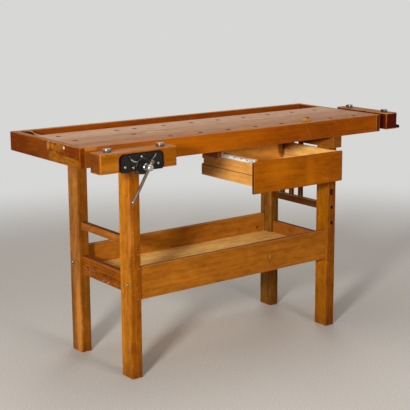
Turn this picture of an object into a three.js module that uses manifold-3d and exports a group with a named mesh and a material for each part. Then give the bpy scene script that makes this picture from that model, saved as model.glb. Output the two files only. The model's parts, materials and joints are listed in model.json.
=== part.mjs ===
// Woodworking bench with a front vise, a tail vise, a drawer hung under the top and a tray shelf.
// Millimetres, +Z up, +X along the bench to its tail vise, +Y to its back.
import * as THREE from "three";
import { mergeVertices } from "three/addons/utils/BufferGeometryUtils.js";
import Module from "manifold-3d";

const wasm = await Module();
wasm.setup();

// Clearances and small roundings
const GAP = 0.3;
const RUNNING_GAP = 0.4;
const EASE = 1.5;
const HOLE_SIDES = 16;
const ROUND_SIDES = 24;
const X = 0;
const Y = 1;
const Z = 2;

// Bench top: a rim of boards round two worktop boards and a tool tray
const TOP_LENGTH = 1384;
const TOP_DEPTH = 488;
const TOP_HEIGHT = 850;
const RIM_HEIGHT = 68;
const END_BOARD = 20;
const DOG_STRIP = 84;
const WORKTOP_THICK = 36;
const WORKTOP_JOINT_Y = -50;
const WORKTOP_BACK_Y = 94;
const BACK_RAIL = 18;
const TRAY_DEEP = 44;
const TRAY_FLOOR = 9;

// Round dog holes in two rows, and four more in line with the front vise
const DOG_HOLE_R = 9;
const ROW_FRONT_Y = -201;
const ROW_BACK_Y = 30;
const ROW_START_X = -305;
const ROW_PITCH = 127;
const ROW_HOLES = 8;
const VISE_HOLES_X = [-617, -381];
const VISE_HOLES_Y = -85;

// Block at the left end of the tray, hollowed by a half-moon slot
const BLOCK_NARROW = 27;
const BLOCK_WIDE = 46;
const SLOT_WALL = 5;
const SLOT_START = 14;
const SLOT_END = 5;
const SLOT_WIDE = 27;

// Base: two end frames, each of two legs, two stretchers and a bearer under the top
const LEG_WIDE = 43;
const LEG_DEEP = 70;
const LEG_X = 464.5;
const LEG_Y = 175;
const BEARER_BOTTOM = 736;
const BEARER_REACH = 236;
const STRETCHER_THICK = 22;
const UPPER_STRETCHER = [477, 505];
const LOWER_STRETCHER = [306, 376];
const TENON_THICK = 10;
const TENON_LONG = 30;
const TENON_SHOULDER = 5;
const SLAT_SECTION = [16, 17];
const SLAT_MIDDLE_Y = 34;
const SLAT_PITCH = 56;
const SLATS = 3;

// Peg holes down the front of the right front leg, the top one square
const PEG_HOLE_R = 7;
const PEG_SQUARE = [20, 22];
const PEG_DEEP = 36;
const PEG_LOWEST_Z = 429;
const PEG_PITCH = 63;

// Tray shelf between the end frames
const SHELF_RAIL = 20;
const SHELF_RAIL_Y = 204;
const SHELF_RAIL_Z = [284, 402];
const SHELF_FLOOR_Z = [318, 326];
const CLEAT = [19, 17];
const CLEAT_LONG = 800;

// Drawer, shown part open, and the runners that hang it: the left fixed one on a block under the
// top, the right one, set lower, on the insides of the two right legs
const DRAWER_FRONT_X = [-3, 440];
const DRAWER_FRONT_Z = [616, 734];
const DRAWER_FRONT_Y = -290;
const DRAWER_FRONT_THICK = 11;
const DRAWER_BOX_X = [12, 429];
const DRAWER_BOX_Z = [641, 743];
const DRAWER_BACK_Y = 45;
const DRAWER_WALL = 12;
const RIGHT_SIDE_TOP = 733;
const DRAWER_FLOOR_Z = [647, 653];
const SIDE_NOTCH_Z = [686, 706];
const SIDE_NOTCH_DEEP = 9;
const SIDE_SEAM_Z = [681, 683];
const SIDE_SEAM_DEEP = 1.5;
const LOWER_SIDE_LONGER = 4;
const RUNNER_Z = [726, 741];
const RUNNER_SHEET = 2;
const RUNNER_FLANGE = 8;
const MOVING_RUNNER_Y = [-278, 20];
const HUNG_RUNNER_Y = [-98, 100];
const LEG_RUNNER_Y = [-168, 175];
const RIGHT_RUNNER_LOWER = 19;
const FIXED_RUNNER_Z = [727, 746];
const FIXED_RUNNER_LIP = 7;
const HANGER_X = [-20, -2];
const HANGER_Y = [-98, -4];
const HANGER_BOTTOM = 726;

// Vise: the two are alike. Its own X runs along the jaw, Y into the bench, and Z up,
// from a zero where the screw's axis meets the jaw's front face.
const SCREW_Z = 798;
const FRONT_VISE_X = -550;
const FRONT_VISE_FACE_Y = -393;
const FRONT_VISE_REACH = 375;
const FRONT_BAR_TILT = 31;
const TAIL_VISE_FACE_X = 795;
const TAIL_VISE_Y = -86;
const TAIL_VISE_REACH = 268;
const TAIL_BAR_TILT = 84.5;
const JAW_X = [-156, 136];
const JAW_THICK = 64;
const JAW_BOTTOM = 785 - SCREW_Z;
const JAW_TOP = TOP_HEIGHT - SCREW_Z;
const JAW_EASE = 2;
const JAW_CORNER = 4.5;
const RECESS_X = [-89, 83];
const RECESS_TOP = 45;
const RECESS_DEEP = 8;
const RECESS_ROUND = 22;
const PLATE_X = [-78, 79];
const PLATE_Z = [-16, 41];
const PLATE_ROUND = 18;
const PLATE_THICK = 7;
const PLATE_ARCH = [18, 3];
const BOSS_R = 27;
const BOSS_PROUD = 5;
const COLLAR_SEAT_R = 17;
const COLLAR_SEAT_PROUD = 9;
const RIB_FOOT = [20, 16];
const RIB_HEAD = [50, 36];
const RIB_BEND = [42, 16];
const RIB_WIDE = 4;
const RIB_PROUD = 4;
const ROD_X = 50;
const ROD_R = 9;
const SCREW_R = 10;
const THREAD_ROOT_R = 8.6;
const NECK_R = 8;
const COLLAR_R = 11.5;
const COLLAR_Y = [-26, -10];
const HUB_R = 11;
const HUB_Y = [-51, -29];
const BAR_R = 5;
const BAR_OUT = 40;
const KNOB_R = 7;
const KNOB_LONG = 16;
const BAR_BELOW = 113;
const NUT_PLATE_X = 63;
const NUT_PLATE_THICK = 20;
const NUT_PLATE_Z = [-22, 11];

// Bench dogs, two on each jaw, and a wooden stop in the front row
const DOG_X = [-111, 91];
const DOG_HEAD_R = 14;
const DOG_HEAD = 11;
const DOG_CHAMFER = 2;
const DOG_FLAT = 11;
const DOG_SHANK = 52;
const STOP_HOLE = 5;
const STOP_HEAD = [34, 20, 14];
const STOP_NOTCH = [5, 6];
const STOP_SHANK = 50;

const HONEY = { color: 0xa9661b, roughness: 0.42, metalness: 0 };
const WORN = { color: 0xb4927a, roughness: 0.62, metalness: 0 };
const PALE = { color: 0xd69a50, roughness: 0.5, metalness: 0 };
const PLY = { color: 0xb48349, roughness: 0.6, metalness: 0 };
const DARK = { color: 0x8a4f20, roughness: 0.45, metalness: 0 };
const IRON = { color: 0x2e2b29, roughness: 0.5, metalness: 0.6 };
const STEEL = { color: 0xb9b6b0, roughness: 0.28, metalness: 1 };
const WHITE = { color: 0xe4e4e2, roughness: 0.4, metalness: 0.1 };

const AXIS = [new THREE.Vector3(1, 0, 0), new THREE.Vector3(0, 1, 0), new THREE.Vector3(0, 0, 1)];
const rimBottom = TOP_HEIGHT - RIM_HEIGHT;
const topFront = -TOP_DEPTH / 2;
const topBack = TOP_DEPTH / 2;
const insideX = TOP_LENGTH / 2 - END_BOARD;
const dogStripBack = topFront + DOG_STRIP;
const worktopBottom = TOP_HEIGHT - WORKTOP_THICK;
const trayBack = topBack - BACK_RAIL;
const trayTop = TOP_HEIGHT - TRAY_DEEP;

// A closed geometry as a manifold solid, its shared corners merged.
function solidOf(geometry) {
  const bare = geometry.clone();
  bare.deleteAttribute("normal");
  bare.deleteAttribute("uv");
  const merged = mergeVertices(bare, 1e-4);
  const mesh = new wasm.Mesh({
    numProp: 3,
    vertProperties: new Float32Array(merged.attributes.position.array),
    triVerts: new Uint32Array(merged.index.array),
  });
  return new wasm.Manifold(mesh);
}

// A manifold solid back as a flat-shaded geometry.
function geometryOf(solid) {
  const mesh = solid.getMesh();
  const geometry = new THREE.BufferGeometry();
  geometry.setAttribute("position", new THREE.BufferAttribute(mesh.vertProperties, 3));
  geometry.setIndex(new THREE.BufferAttribute(mesh.triVerts, 1));
  const flat = geometry.toNonIndexed();
  flat.computeVertexNormals();
  return flat;
}

// The body less each of the tools.
function cut(body, tools) {
  const left = tools.reduce((rest, tool) => rest.subtract(solidOf(tool)), solidOf(body));
  return geometryOf(left);
}

// The body with each of the others added.
function join(body, others) {
  const whole = others.reduce((rest, other) => rest.add(solidOf(other)), solidOf(body));
  return geometryOf(whole);
}

// A box between two corners.
function box(low, high) {
  const size = high.map((value, i) => value - low[i]);
  const middle = high.map((value, i) => (value + low[i]) / 2);
  return new THREE.BoxGeometry(...size).translate(...middle);
}

// A shape drawn in the two axes that follow `along` in the order X, Y, Z, X, and drawn out along it.
function extrude(shape, along, from, to) {
  const options = { depth: to - from, bevelEnabled: false, curveSegments: 8 };
  const basis = new THREE.Matrix4().makeBasis(AXIS[(along + 1) % 3], AXIS[(along + 2) % 3], AXIS[along]);
  return new THREE.ExtrudeGeometry(shape, options).translate(0, 0, from).applyMatrix4(basis);
}

// A shape from straight corners.
function polygon(points) {
  return new THREE.Shape(points.map(([a, b]) => new THREE.Vector2(a, b)));
}

// A sawn board between two corners, its grain along one axis and its four long edges eased.
function board(low, high, along, ease = EASE) {
  const a = (along + 1) % 3;
  const b = (along + 2) % 3;
  const section = polygon([
    [low[a] + ease, low[b]],
    [high[a] - ease, low[b]],
    [high[a], low[b] + ease],
    [high[a], high[b] - ease],
    [high[a] - ease, high[b]],
    [low[a] + ease, high[b]],
    [low[a], high[b] - ease],
    [low[a], low[b] + ease],
  ]);
  return extrude(section, along, low[along], high[along]);
}

// A round bar along one axis through a point, between two stations on that axis.
function rod(radius, along, point, from, to, sides = ROUND_SIDES) {
  const geometry = new THREE.CylinderGeometry(radius, radius, to - from, sides);
  geometry.applyQuaternion(new THREE.Quaternion().setFromUnitVectors(AXIS[Y], AXIS[along]));
  const place = [...point];
  place[along] = (from + to) / 2;
  return geometry.translate(...place);
}

// A body turned round the Y axis from a profile of [radius, y] corners, lowest first.
function turned(profile, sides = ROUND_SIDES) {
  return new THREE.LatheGeometry(profile.map(([r, y]) => new THREE.Vector2(r, y)), sides);
}

function addMesh(group, name, geometry, look) {
  const mesh = new THREE.Mesh(geometry, new THREE.MeshStandardMaterial(look));
  mesh.name = name;
  group.add(mesh);
  return mesh;
}

// A through hole for a bench dog, straight down the top.
function dogHole(x, y) {
  return rod(DOG_HOLE_R, Z, [x, y, 0], rimBottom - 1, TOP_HEIGHT + 1, HOLE_SIDES);
}

function rowHoles(y) {
  return Array.from({ length: ROW_HOLES }, (_, i) => dogHole(ROW_START_X + i * ROW_PITCH, y));
}

// The rim, the worktop boards with their dog holes, and the tool tray behind them.
function makeTop() {
  const group = new THREE.Group();
  const end = TOP_LENGTH / 2;
  const leftEnd = board([-end, topFront, rimBottom], [-insideX - GAP, topBack, TOP_HEIGHT], Y);
  addMesh(group, "end_board_left", leftEnd, DARK);

  const rightEnd = board([insideX + GAP, topFront, rimBottom], [end, topBack, TOP_HEIGHT], Y);
  const tailHoles = [-ROD_X, 0, ROD_X].map((offset) => {
    const radius = (offset ? ROD_R : SCREW_R) + RUNNING_GAP;
    return rod(radius, X, [0, TAIL_VISE_Y + offset, SCREW_Z], insideX - 1, end + 1);
  });
  addMesh(group, "end_board_right", cut(rightEnd, tailHoles), HONEY);

  const strip = board([-insideX, topFront, rimBottom], [insideX, dogStripBack - GAP, TOP_HEIGHT], X);
  const frontHoles = [-ROD_X, 0, ROD_X].map((offset) => {
    const radius = (offset ? ROD_R : SCREW_R) + RUNNING_GAP;
    return rod(radius, Y, [FRONT_VISE_X + offset, 0, SCREW_Z], topFront - 1, dogStripBack + 1);
  });
  addMesh(group, "dog_strip", cut(strip, [...rowHoles(ROW_FRONT_Y), ...frontHoles]), HONEY);

  const middle = WORKTOP_JOINT_Y;
  const frontBoard = box([-insideX, dogStripBack, worktopBottom], [insideX, middle - GAP, TOP_HEIGHT]);
  const frontBoardHoles = VISE_HOLES_X.map((x) => dogHole(x, VISE_HOLES_Y));
  addMesh(group, "worktop_board_front", cut(frontBoard, frontBoardHoles), WORN);

  const backBoard = box([-insideX, middle, worktopBottom], [insideX, WORKTOP_BACK_Y - GAP, TOP_HEIGHT]);
  const backBoardHoles = VISE_HOLES_X.map((x) => dogHole(x, ROW_BACK_Y));
  addMesh(group, "worktop_board_back", cut(backBoard, [...rowHoles(ROW_BACK_Y), ...backBoardHoles]), WORN);

  const backRail = board([-insideX, trayBack, rimBottom], [insideX, topBack, TOP_HEIGHT], X);
  addMesh(group, "back_rail", backRail, HONEY);

  const trayLow = [-insideX, WORKTOP_BACK_Y, trayTop - TRAY_FLOOR];
  addMesh(group, "tray_floor", box(trayLow, [insideX, trayBack - GAP, trayTop - GAP]), PLY);
  addMesh(group, "tray_end_block", trayEndBlock(), HONEY);
  return group;
}

// The block's inner side swings out to the back of the tray, and the slot's inner side follows it.
function trayEndBlock() {
  const left = -insideX;
  const front = WORKTOP_BACK_Y;
  const back = trayBack - GAP;
  const outline = new THREE.Shape();
  outline.moveTo(left, front);
  outline.lineTo(left + BLOCK_NARROW, front);
  const narrow = left + BLOCK_NARROW;
  const wide = left + BLOCK_WIDE;
  outline.quadraticCurveTo(narrow, (front + back) / 2, wide, back - BLOCK_NARROW);
  outline.quadraticCurveTo(wide, back - BLOCK_NARROW / 2, wide - SLOT_WALL, back);
  outline.lineTo(left, back);
  const wall = left + SLOT_WALL;
  const slot = new THREE.Shape();
  slot.moveTo(wall, front + SLOT_START);
  const slotBack = back - SLOT_END;
  const bend = [wall + SLOT_WIDE / 2, front + 3 * SLOT_START];
  slot.bezierCurveTo(...bend, wall + 2 * SLOT_WIDE, slotBack, wall, slotBack);
  const block = extrude(outline, Z, trayTop, TOP_HEIGHT);
  return cut(block, [extrude(slot, Z, trayTop + TRAY_FLOOR, TOP_HEIGHT + 1)]);
}

// A bearer is notched at its ends and under the tray, so that it meets each part of the top.
function bearer(x) {
  const strip = rimBottom - GAP;
  const worktop = worktopBottom - GAP;
  const tray = trayTop - TRAY_FLOOR - GAP;
  const profile = polygon([
    [-BEARER_REACH, BEARER_BOTTOM],
    [BEARER_REACH, BEARER_BOTTOM],
    [BEARER_REACH, strip],
    [trayBack - GAP, strip],
    [trayBack - GAP, tray],
    [WORKTOP_BACK_Y, tray],
    [WORKTOP_BACK_Y, worktop],
    [dogStripBack, worktop],
    [dogStripBack, strip],
    [-BEARER_REACH, strip],
  ]);
  return extrude(profile, X, x - LEG_WIDE / 2, x + LEG_WIDE / 2);
}

// A mortise in the inner side of a leg, a little larger than the tenon that it takes.
function mortise(x, innerY, side, [bottom, top]) {
  const half = TENON_THICK / 2 + GAP;
  const deep = innerY + side * (TENON_LONG + GAP);
  const ys = [innerY - side, deep].sort((a, b) => a - b);
  const low = bottom + TENON_SHOULDER - GAP;
  const high = top - TENON_SHOULDER + GAP;
  return box([x - half, ys[0], low], [x + half, ys[1], high]);
}

// Round blind holes for a peg, and a square one above them, in the leg's front face.
function pegHoles(x, frontY) {
  const round = [0, 1].map((step) => {
    const z = PEG_LOWEST_Z + step * PEG_PITCH;
    return rod(PEG_HOLE_R, Y, [x, 0, z], frontY - 1, frontY + PEG_DEEP, HOLE_SIDES);
  });
  const z = PEG_LOWEST_Z + 2 * PEG_PITCH;
  const [wide, high] = PEG_SQUARE.map((size) => size / 2);
  return [...round, box([x - wide, frontY - 1, z - high], [x + wide, frontY + PEG_DEEP, z + high])];
}

function leg(x, side) {
  const low = [x - LEG_WIDE / 2, side * LEG_Y - LEG_DEEP / 2, 0];
  const high = [x + LEG_WIDE / 2, side * LEG_Y + LEG_DEEP / 2, BEARER_BOTTOM - GAP];
  const innerY = side * (LEG_Y - LEG_DEEP / 2);
  const tools = [UPPER_STRETCHER, LOWER_STRETCHER].map((heights) => mortise(x, innerY, side, heights));
  if (x > 0 && side < 0) tools.push(...pegHoles(x, low[Y]));
  return cut(board(low, high, Z, 2 * EASE), tools);
}

// A stretcher with a tenon at each end.
function stretcher(x, [bottom, top]) {
  const reach = LEG_Y - LEG_DEEP / 2 - GAP;
  const half = STRETCHER_THICK / 2;
  const rail = board([x - half, -reach, bottom], [x + half, reach, top], Y);
  const tongue = TENON_THICK / 2;
  const low = [x - tongue, -reach - TENON_LONG, bottom + TENON_SHOULDER];
  const high = [x + tongue, reach + TENON_LONG, top - TENON_SHOULDER];
  return join(rail, [box(low, high)]);
}

// Two end frames, and three upright slats in the right one that keep tools in line.
function makeBase() {
  const group = new THREE.Group();
  const frames = { left: -LEG_X, right: LEG_X };
  for (const [name, x] of Object.entries(frames)) {
    addMesh(group, `bearer_${name}`, bearer(x), HONEY);
    addMesh(group, `leg_front_${name}`, leg(x, -1), HONEY);
    addMesh(group, `leg_back_${name}`, leg(x, 1), HONEY);
    addMesh(group, `upper_stretcher_${name}`, stretcher(x, UPPER_STRETCHER), HONEY);
    addMesh(group, `lower_stretcher_${name}`, stretcher(x, LOWER_STRETCHER), HONEY);
  }
  const [thick, wide] = SLAT_SECTION.map((size) => size / 2);
  for (let i = 0; i < SLATS; i += 1) {
    const y = SLAT_MIDDLE_Y + (i - (SLATS - 1) / 2) * SLAT_PITCH;
    const low = [LEG_X - thick, y - wide, UPPER_STRETCHER[1] + GAP];
    const high = [LEG_X + thick, y + wide, BEARER_BOTTOM - GAP];
    addMesh(group, `rack_slat_${i + 1}`, board(low, high, Z), DARK);
  }
  return group;
}

// Two deep rails between the end frames, with a floor on cleats that reaches round the legs.
function makeShelf() {
  const group = new THREE.Group();
  const railEnd = LEG_X - LEG_WIDE / 2 - GAP;
  const railIn = SHELF_RAIL_Y - SHELF_RAIL;
  const [bottom, top] = SHELF_RAIL_Z;
  const front = board([-railEnd, -SHELF_RAIL_Y, bottom], [railEnd, -railIn, top], X);
  const back = board([-railEnd, railIn, bottom], [railEnd, SHELF_RAIL_Y, top], X);
  addMesh(group, "shelf_rail_front", front, HONEY);
  addMesh(group, "shelf_rail_back", back, HONEY);

  const floorEnd = LEG_X - STRETCHER_THICK / 2 - GAP;
  const floorIn = LEG_Y - LEG_DEEP / 2 - GAP;
  const floorSide = railIn - GAP;
  const outline = polygon([
    [-railEnd, -floorSide],
    [railEnd, -floorSide],
    [railEnd, -floorIn],
    [floorEnd, -floorIn],
    [floorEnd, floorIn],
    [railEnd, floorIn],
    [railEnd, floorSide],
    [-railEnd, floorSide],
    [-railEnd, floorIn],
    [-floorEnd, floorIn],
    [-floorEnd, -floorIn],
    [-railEnd, -floorIn],
  ]);
  addMesh(group, "shelf_floor", extrude(outline, Z, SHELF_FLOOR_Z[0], SHELF_FLOOR_Z[1]), PLY);

  const [cleatDeep, cleatHigh] = CLEAT;
  const cleatTop = SHELF_FLOOR_Z[0] - GAP;
  const half = CLEAT_LONG / 2;
  for (const [name, side] of [["front", -1], ["back", 1]]) {
    const ys = [side * floorSide, side * (floorSide - cleatDeep)].sort((a, b) => a - b);
    const cleat = board([-half, ys[0], cleatTop - cleatHigh], [half, ys[1], cleatTop], X);
    addMesh(group, `shelf_cleat_${name}`, cleat, HONEY);
  }
  return group;
}

// A side of the drawer, glued up from two boards: the seam shows as a groove on both faces, the
// lower board runs a little longer, and the upper one is notched at its back end.
function drawerSide(x, top) {
  const start = DRAWER_FRONT_Y + DRAWER_FRONT_THICK + GAP;
  const bottom = DRAWER_BOX_Z[0];
  const end = DRAWER_BACK_Y + LOWER_SIDE_LONGER;
  const other = x + DRAWER_WALL;
  const side = board([x, start, bottom], [other, end, top], Y, EASE / 2);
  const [seamLow, seamHigh] = SIDE_SEAM_Z;
  const upperEnd = box([x - 1, DRAWER_BACK_Y, seamHigh], [other + 1, end + 1, top + 1]);
  const notchLow = [x - 1, DRAWER_BACK_Y - SIDE_NOTCH_DEEP, SIDE_NOTCH_Z[0]];
  const notch = box(notchLow, [other + 1, end + 1, SIDE_NOTCH_Z[1]]);
  const grooves = [
    box([x - 1, start - 1, seamLow], [x + SIDE_SEAM_DEEP, end + 1, seamHigh]),
    box([other - SIDE_SEAM_DEEP, start - 1, seamLow], [other + 1, end + 1, seamHigh]),
  ];
  return cut(side, [upperEnd, notch, ...grooves]);
}

// A folded runner on the drawer's side: a web with a flange turned out along its top.
function movingRunner(x, out, lower) {
  const web = x + out * (GAP + RUNNER_SHEET);
  const tip = web + out * RUNNER_FLANGE;
  const [bottom, top] = RUNNER_Z.map((z) => z - lower);
  const profile = polygon([
    [bottom, x + out * GAP],
    [bottom, web],
    [top - RUNNER_SHEET, web],
    [top - RUNNER_SHEET, tip],
    [top, tip],
    [top, x + out * GAP],
  ]);
  return extrude(profile, Y, MOVING_RUNNER_Y[0], MOVING_RUNNER_Y[1]);
}

// A folded runner on the bench: a web with a ledge under the moving flange and a lip over it.
function fixedRunner(x, inward, lower, [front, rear]) {
  const back = x + inward * GAP;
  const web = back + inward * RUNNER_SHEET;
  const tip = web + inward * FIXED_RUNNER_LIP;
  const [bottom, top] = FIXED_RUNNER_Z.map((z) => z - lower);
  const profile = polygon([
    [bottom, back],
    [bottom, tip],
    [bottom + RUNNER_SHEET, tip],
    [bottom + RUNNER_SHEET, web],
    [top - RUNNER_SHEET, web],
    [top - RUNNER_SHEET, tip],
    [top, tip],
    [top, back],
  ]);
  return extrude(profile, Y, front, rear);
}

// The drawer's box and front, its runners, and the block that hangs the left ones from the top. The
// right side and the back are lower than the left side, which stands proud of the front.
function makeDrawer() {
  const group = new THREE.Group();
  const frontBack = DRAWER_FRONT_Y + DRAWER_FRONT_THICK;
  const frontLow = [DRAWER_FRONT_X[0], DRAWER_FRONT_Y, DRAWER_FRONT_Z[0]];
  const front = board(frontLow, [DRAWER_FRONT_X[1], frontBack, DRAWER_FRONT_Z[1]], X, 2 * EASE);
  addMesh(group, "drawer_front", front, HONEY);
  const [left, right] = DRAWER_BOX_X;
  addMesh(group, "drawer_side_left", drawerSide(left, DRAWER_BOX_Z[1]), PALE);
  addMesh(group, "drawer_side_right", drawerSide(right - DRAWER_WALL, RIGHT_SIDE_TOP), PALE);

  const insideLeft = left + DRAWER_WALL + GAP;
  const insideRight = right - DRAWER_WALL - GAP;
  const backFace = DRAWER_BACK_Y - DRAWER_WALL;
  const backLow = [insideLeft, backFace, DRAWER_FLOOR_Z[1] + GAP];
  const back = board(backLow, [insideRight, DRAWER_BACK_Y, RIGHT_SIDE_TOP], X, EASE / 2);
  addMesh(group, "drawer_back", back, PALE);
  const floorLow = [insideLeft, frontBack + GAP, DRAWER_FLOOR_Z[0]];
  addMesh(group, "drawer_floor", box(floorLow, [insideRight, DRAWER_BACK_Y, DRAWER_FLOOR_Z[1]]), PLY);

  const legFace = LEG_X - LEG_WIDE / 2;
  const hungRunner = fixedRunner(HANGER_X[1], 1, 0, HUNG_RUNNER_Y);
  const legRunner = fixedRunner(legFace, -1, RIGHT_RUNNER_LOWER, LEG_RUNNER_Y);
  addMesh(group, "drawer_runner_left", movingRunner(left, -1, 0), WHITE);
  addMesh(group, "drawer_runner_right", movingRunner(right, 1, RIGHT_RUNNER_LOWER), WHITE);
  addMesh(group, "fixed_runner_left", hungRunner, WHITE);
  addMesh(group, "fixed_runner_right", legRunner, WHITE);
  const hangerTop = worktopBottom - GAP;
  const hanger = board([HANGER_X[0], HANGER_Y[0], HANGER_BOTTOM], [HANGER_X[1], HANGER_Y[1], hangerTop], Z);
  addMesh(group, "drawer_hanger", hanger, DARK);
  return group;
}

// A prism that takes a chamfer off one upright corner of the jaw; its sides point outwards.
function jawCorner(x, y, sideX, sideY) {
  const past = JAW_CORNER + 1;
  const corner = polygon([
    [x + sideX, y + sideY],
    [x - sideX * past, y + sideY],
    [x + sideX, y - sideY * past],
  ]);
  return extrude(corner, Z, JAW_BOTTOM - 1, JAW_TOP + 1);
}

// The wooden jaw: recessed in front for the plate, bored for the screw, the rods and the dogs.
function viseJaw() {
  const low = [JAW_X[0], 0, JAW_BOTTOM];
  const jaw = board(low, [JAW_X[1], JAW_THICK, JAW_TOP], X, JAW_EASE);
  const recess = new THREE.Shape();
  const [left, right] = RECESS_X;
  recess.moveTo(JAW_BOTTOM - 1, left);
  recess.lineTo(RECESS_TOP - RECESS_ROUND, left);
  recess.quadraticCurveTo(RECESS_TOP, left, RECESS_TOP, left + RECESS_ROUND);
  recess.lineTo(RECESS_TOP, right - RECESS_ROUND);
  recess.quadraticCurveTo(RECESS_TOP, right, RECESS_TOP - RECESS_ROUND, right);
  recess.lineTo(JAW_BOTTOM - 1, right);
  const tools = [extrude(recess, Y, -1, RECESS_DEEP)];
  for (const x of [-ROD_X, 0, ROD_X]) {
    const radius = (x ? ROD_R : SCREW_R) + RUNNING_GAP;
    tools.push(rod(radius, Y, [x, 0, 0], 0, JAW_THICK + 1));
  }
  const dogBore = DOG_HOLE_R + RUNNING_GAP;
  for (const x of DOG_X) {
    tools.push(rod(dogBore, Z, [x, JAW_THICK / 2, 0], JAW_BOTTOM - 1, JAW_TOP + 1));
  }
  for (const [x, sideX] of [[JAW_X[0], -1], [JAW_X[1], 1]]) {
    tools.push(jawCorner(x, 0, sideX, -1), jawCorner(x, JAW_THICK, sideX, 1));
  }
  return cut(jaw, tools);
}

// One curved rib of the plate, from the boss up to a top corner; side is -1 or 1.
function plateRib(side, face) {
  const half = RIB_WIDE / 2;
  const rib = new THREE.Shape();
  rib.moveTo(RIB_FOOT[1] - half, side * RIB_FOOT[0]);
  const outer = [RIB_BEND[1] - half, side * (RIB_BEND[0] + half)];
  const inner = [RIB_BEND[1] + half, side * (RIB_BEND[0] - half)];
  rib.quadraticCurveTo(...outer, RIB_HEAD[1], side * (RIB_HEAD[0] + half));
  rib.lineTo(RIB_HEAD[1], side * (RIB_HEAD[0] - half));
  rib.quadraticCurveTo(...inner, RIB_FOOT[1] + half, side * RIB_FOOT[0]);
  return extrude(rib, Y, face - RIB_PROUD, face + 1);
}

// The cast plate: rounded top corners, two arches in its lower edge, and a round boss with a
// raised seat for the screw's collar. Two curved ribs run up from the boss.
function visePlate() {
  const [left, right] = PLATE_X;
  const [bottom, top] = PLATE_Z;
  const [archWide, archHigh] = PLATE_ARCH;
  const outline = new THREE.Shape();
  outline.moveTo(bottom, left);
  outline.lineTo(top - PLATE_ROUND, left);
  outline.quadraticCurveTo(top, left, top, left + PLATE_ROUND);
  outline.lineTo(top, right - PLATE_ROUND);
  outline.quadraticCurveTo(top, right, top - PLATE_ROUND, right);
  outline.lineTo(bottom, right);
  outline.lineTo(bottom, BOSS_R + archWide);
  outline.quadraticCurveTo(bottom + 2 * archHigh, BOSS_R + archWide / 2, bottom, BOSS_R - archWide / 2);
  outline.lineTo(bottom, archWide / 2 - BOSS_R);
  outline.quadraticCurveTo(bottom + 2 * archHigh, -BOSS_R - archWide / 2, bottom, -BOSS_R - archWide);
  const back = RECESS_DEEP - GAP;
  const face = back - PLATE_THICK;
  const sheet = extrude(outline, Y, face, back);
  const boss = rod(BOSS_R, Y, [0, 0, 0], face - BOSS_PROUD, back);
  const seat = rod(COLLAR_SEAT_R, Y, [0, 0, 0], face - COLLAR_SEAT_PROUD, back);
  const cast = join(sheet, [boss, seat, plateRib(-1, face), plateRib(1, face)]);
  const bore = rod(NECK_R + RUNNING_GAP, Y, [0, 0, 0], face - COLLAR_SEAT_PROUD - 1, back + 1);
  return cut(cast, [bore]);
}

// The screw with its collar and the hub that the bar slides through. Its shaft is drawn at the
// root of the thread, and the bores round it clear the thread's crest.
function viseScrew(reach, tilt) {
  const [hubFront, hubBack] = HUB_Y;
  const [collarFront, collarBack] = COLLAR_Y;
  const round = 3 * EASE;
  const body = turned([
    [0, hubFront],
    [HUB_R - round, hubFront],
    [HUB_R, hubFront + round],
    [HUB_R, hubBack - EASE],
    [HUB_R - EASE, hubBack],
    [NECK_R, hubBack],
    [NECK_R, collarFront],
    [COLLAR_R - EASE, collarFront],
    [COLLAR_R, collarFront + EASE],
    [COLLAR_R, collarBack],
    [NECK_R, collarBack],
    [NECK_R, RECESS_DEEP + GAP],
    [THREAD_ROOT_R, RECESS_DEEP + GAP],
    [THREAD_ROOT_R, reach - 2 * EASE],
    [THREAD_ROOT_R - 2 * EASE, reach],
    [0, reach],
  ]);
  const eye = rod(BAR_R + RUNNING_GAP, Z, [0, 0, 0], -2 * HUB_R, 2 * HUB_R);
  eye.rotateY(tilt).translate(0, -BAR_OUT, 0);
  return cut(body, [eye]);
}

// The bar and its lower knob, turned along Z with zero at the hub's middle.
function viseBar() {
  const end = -BAR_BELOW - KNOB_LONG;
  const bar = turned([
    [0, end],
    [KNOB_R - 2 * EASE, end],
    [KNOB_R, end + 2 * EASE],
    [KNOB_R, -BAR_BELOW - 2 * EASE],
    [BAR_R + EASE / 2, -BAR_BELOW],
    [BAR_R, -BAR_BELOW],
    [BAR_R, HUB_R + KNOB_LONG / 2],
    [0, HUB_R + KNOB_LONG / 2],
  ]);
  return bar.rotateX(Math.PI / 2);
}

// The upper knob, bored half through for the end of the bar, and resting on the hub.
function viseKnob() {
  const start = HUB_R + GAP;
  const knob = turned([
    [0, start],
    [BAR_R + EASE / 2, start],
    [KNOB_R, start + 2 * EASE],
    [KNOB_R, start + KNOB_LONG - 2 * EASE],
    [KNOB_R - 2 * EASE, start + KNOB_LONG],
    [0, start + KNOB_LONG],
  ]);
  const bore = rod(BAR_R + GAP, Y, [0, 0, 0], start - 1, HUB_R + KNOB_LONG / 2 + GAP);
  return cut(knob, [bore]).rotateX(Math.PI / 2);
}

// A bench dog: a round head with one flat side that grips the work, on a plain shank.
function benchDog() {
  const dog = turned([
    [0, -DOG_SHANK],
    [DOG_HOLE_R - DOG_CHAMFER, -DOG_SHANK],
    [DOG_HOLE_R, DOG_CHAMFER - DOG_SHANK],
    [DOG_HOLE_R, GAP],
    [DOG_HEAD_R, GAP],
    [DOG_HEAD_R, DOG_HEAD - DOG_CHAMFER],
    [DOG_HEAD_R - DOG_CHAMFER, DOG_HEAD],
    [0, DOG_HEAD],
  ]);
  dog.rotateX(Math.PI / 2);
  const side = 2 * DOG_HEAD_R;
  return cut(dog, [box([-side, DOG_FLAT, GAP], [side, side, side])]);
}

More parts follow.
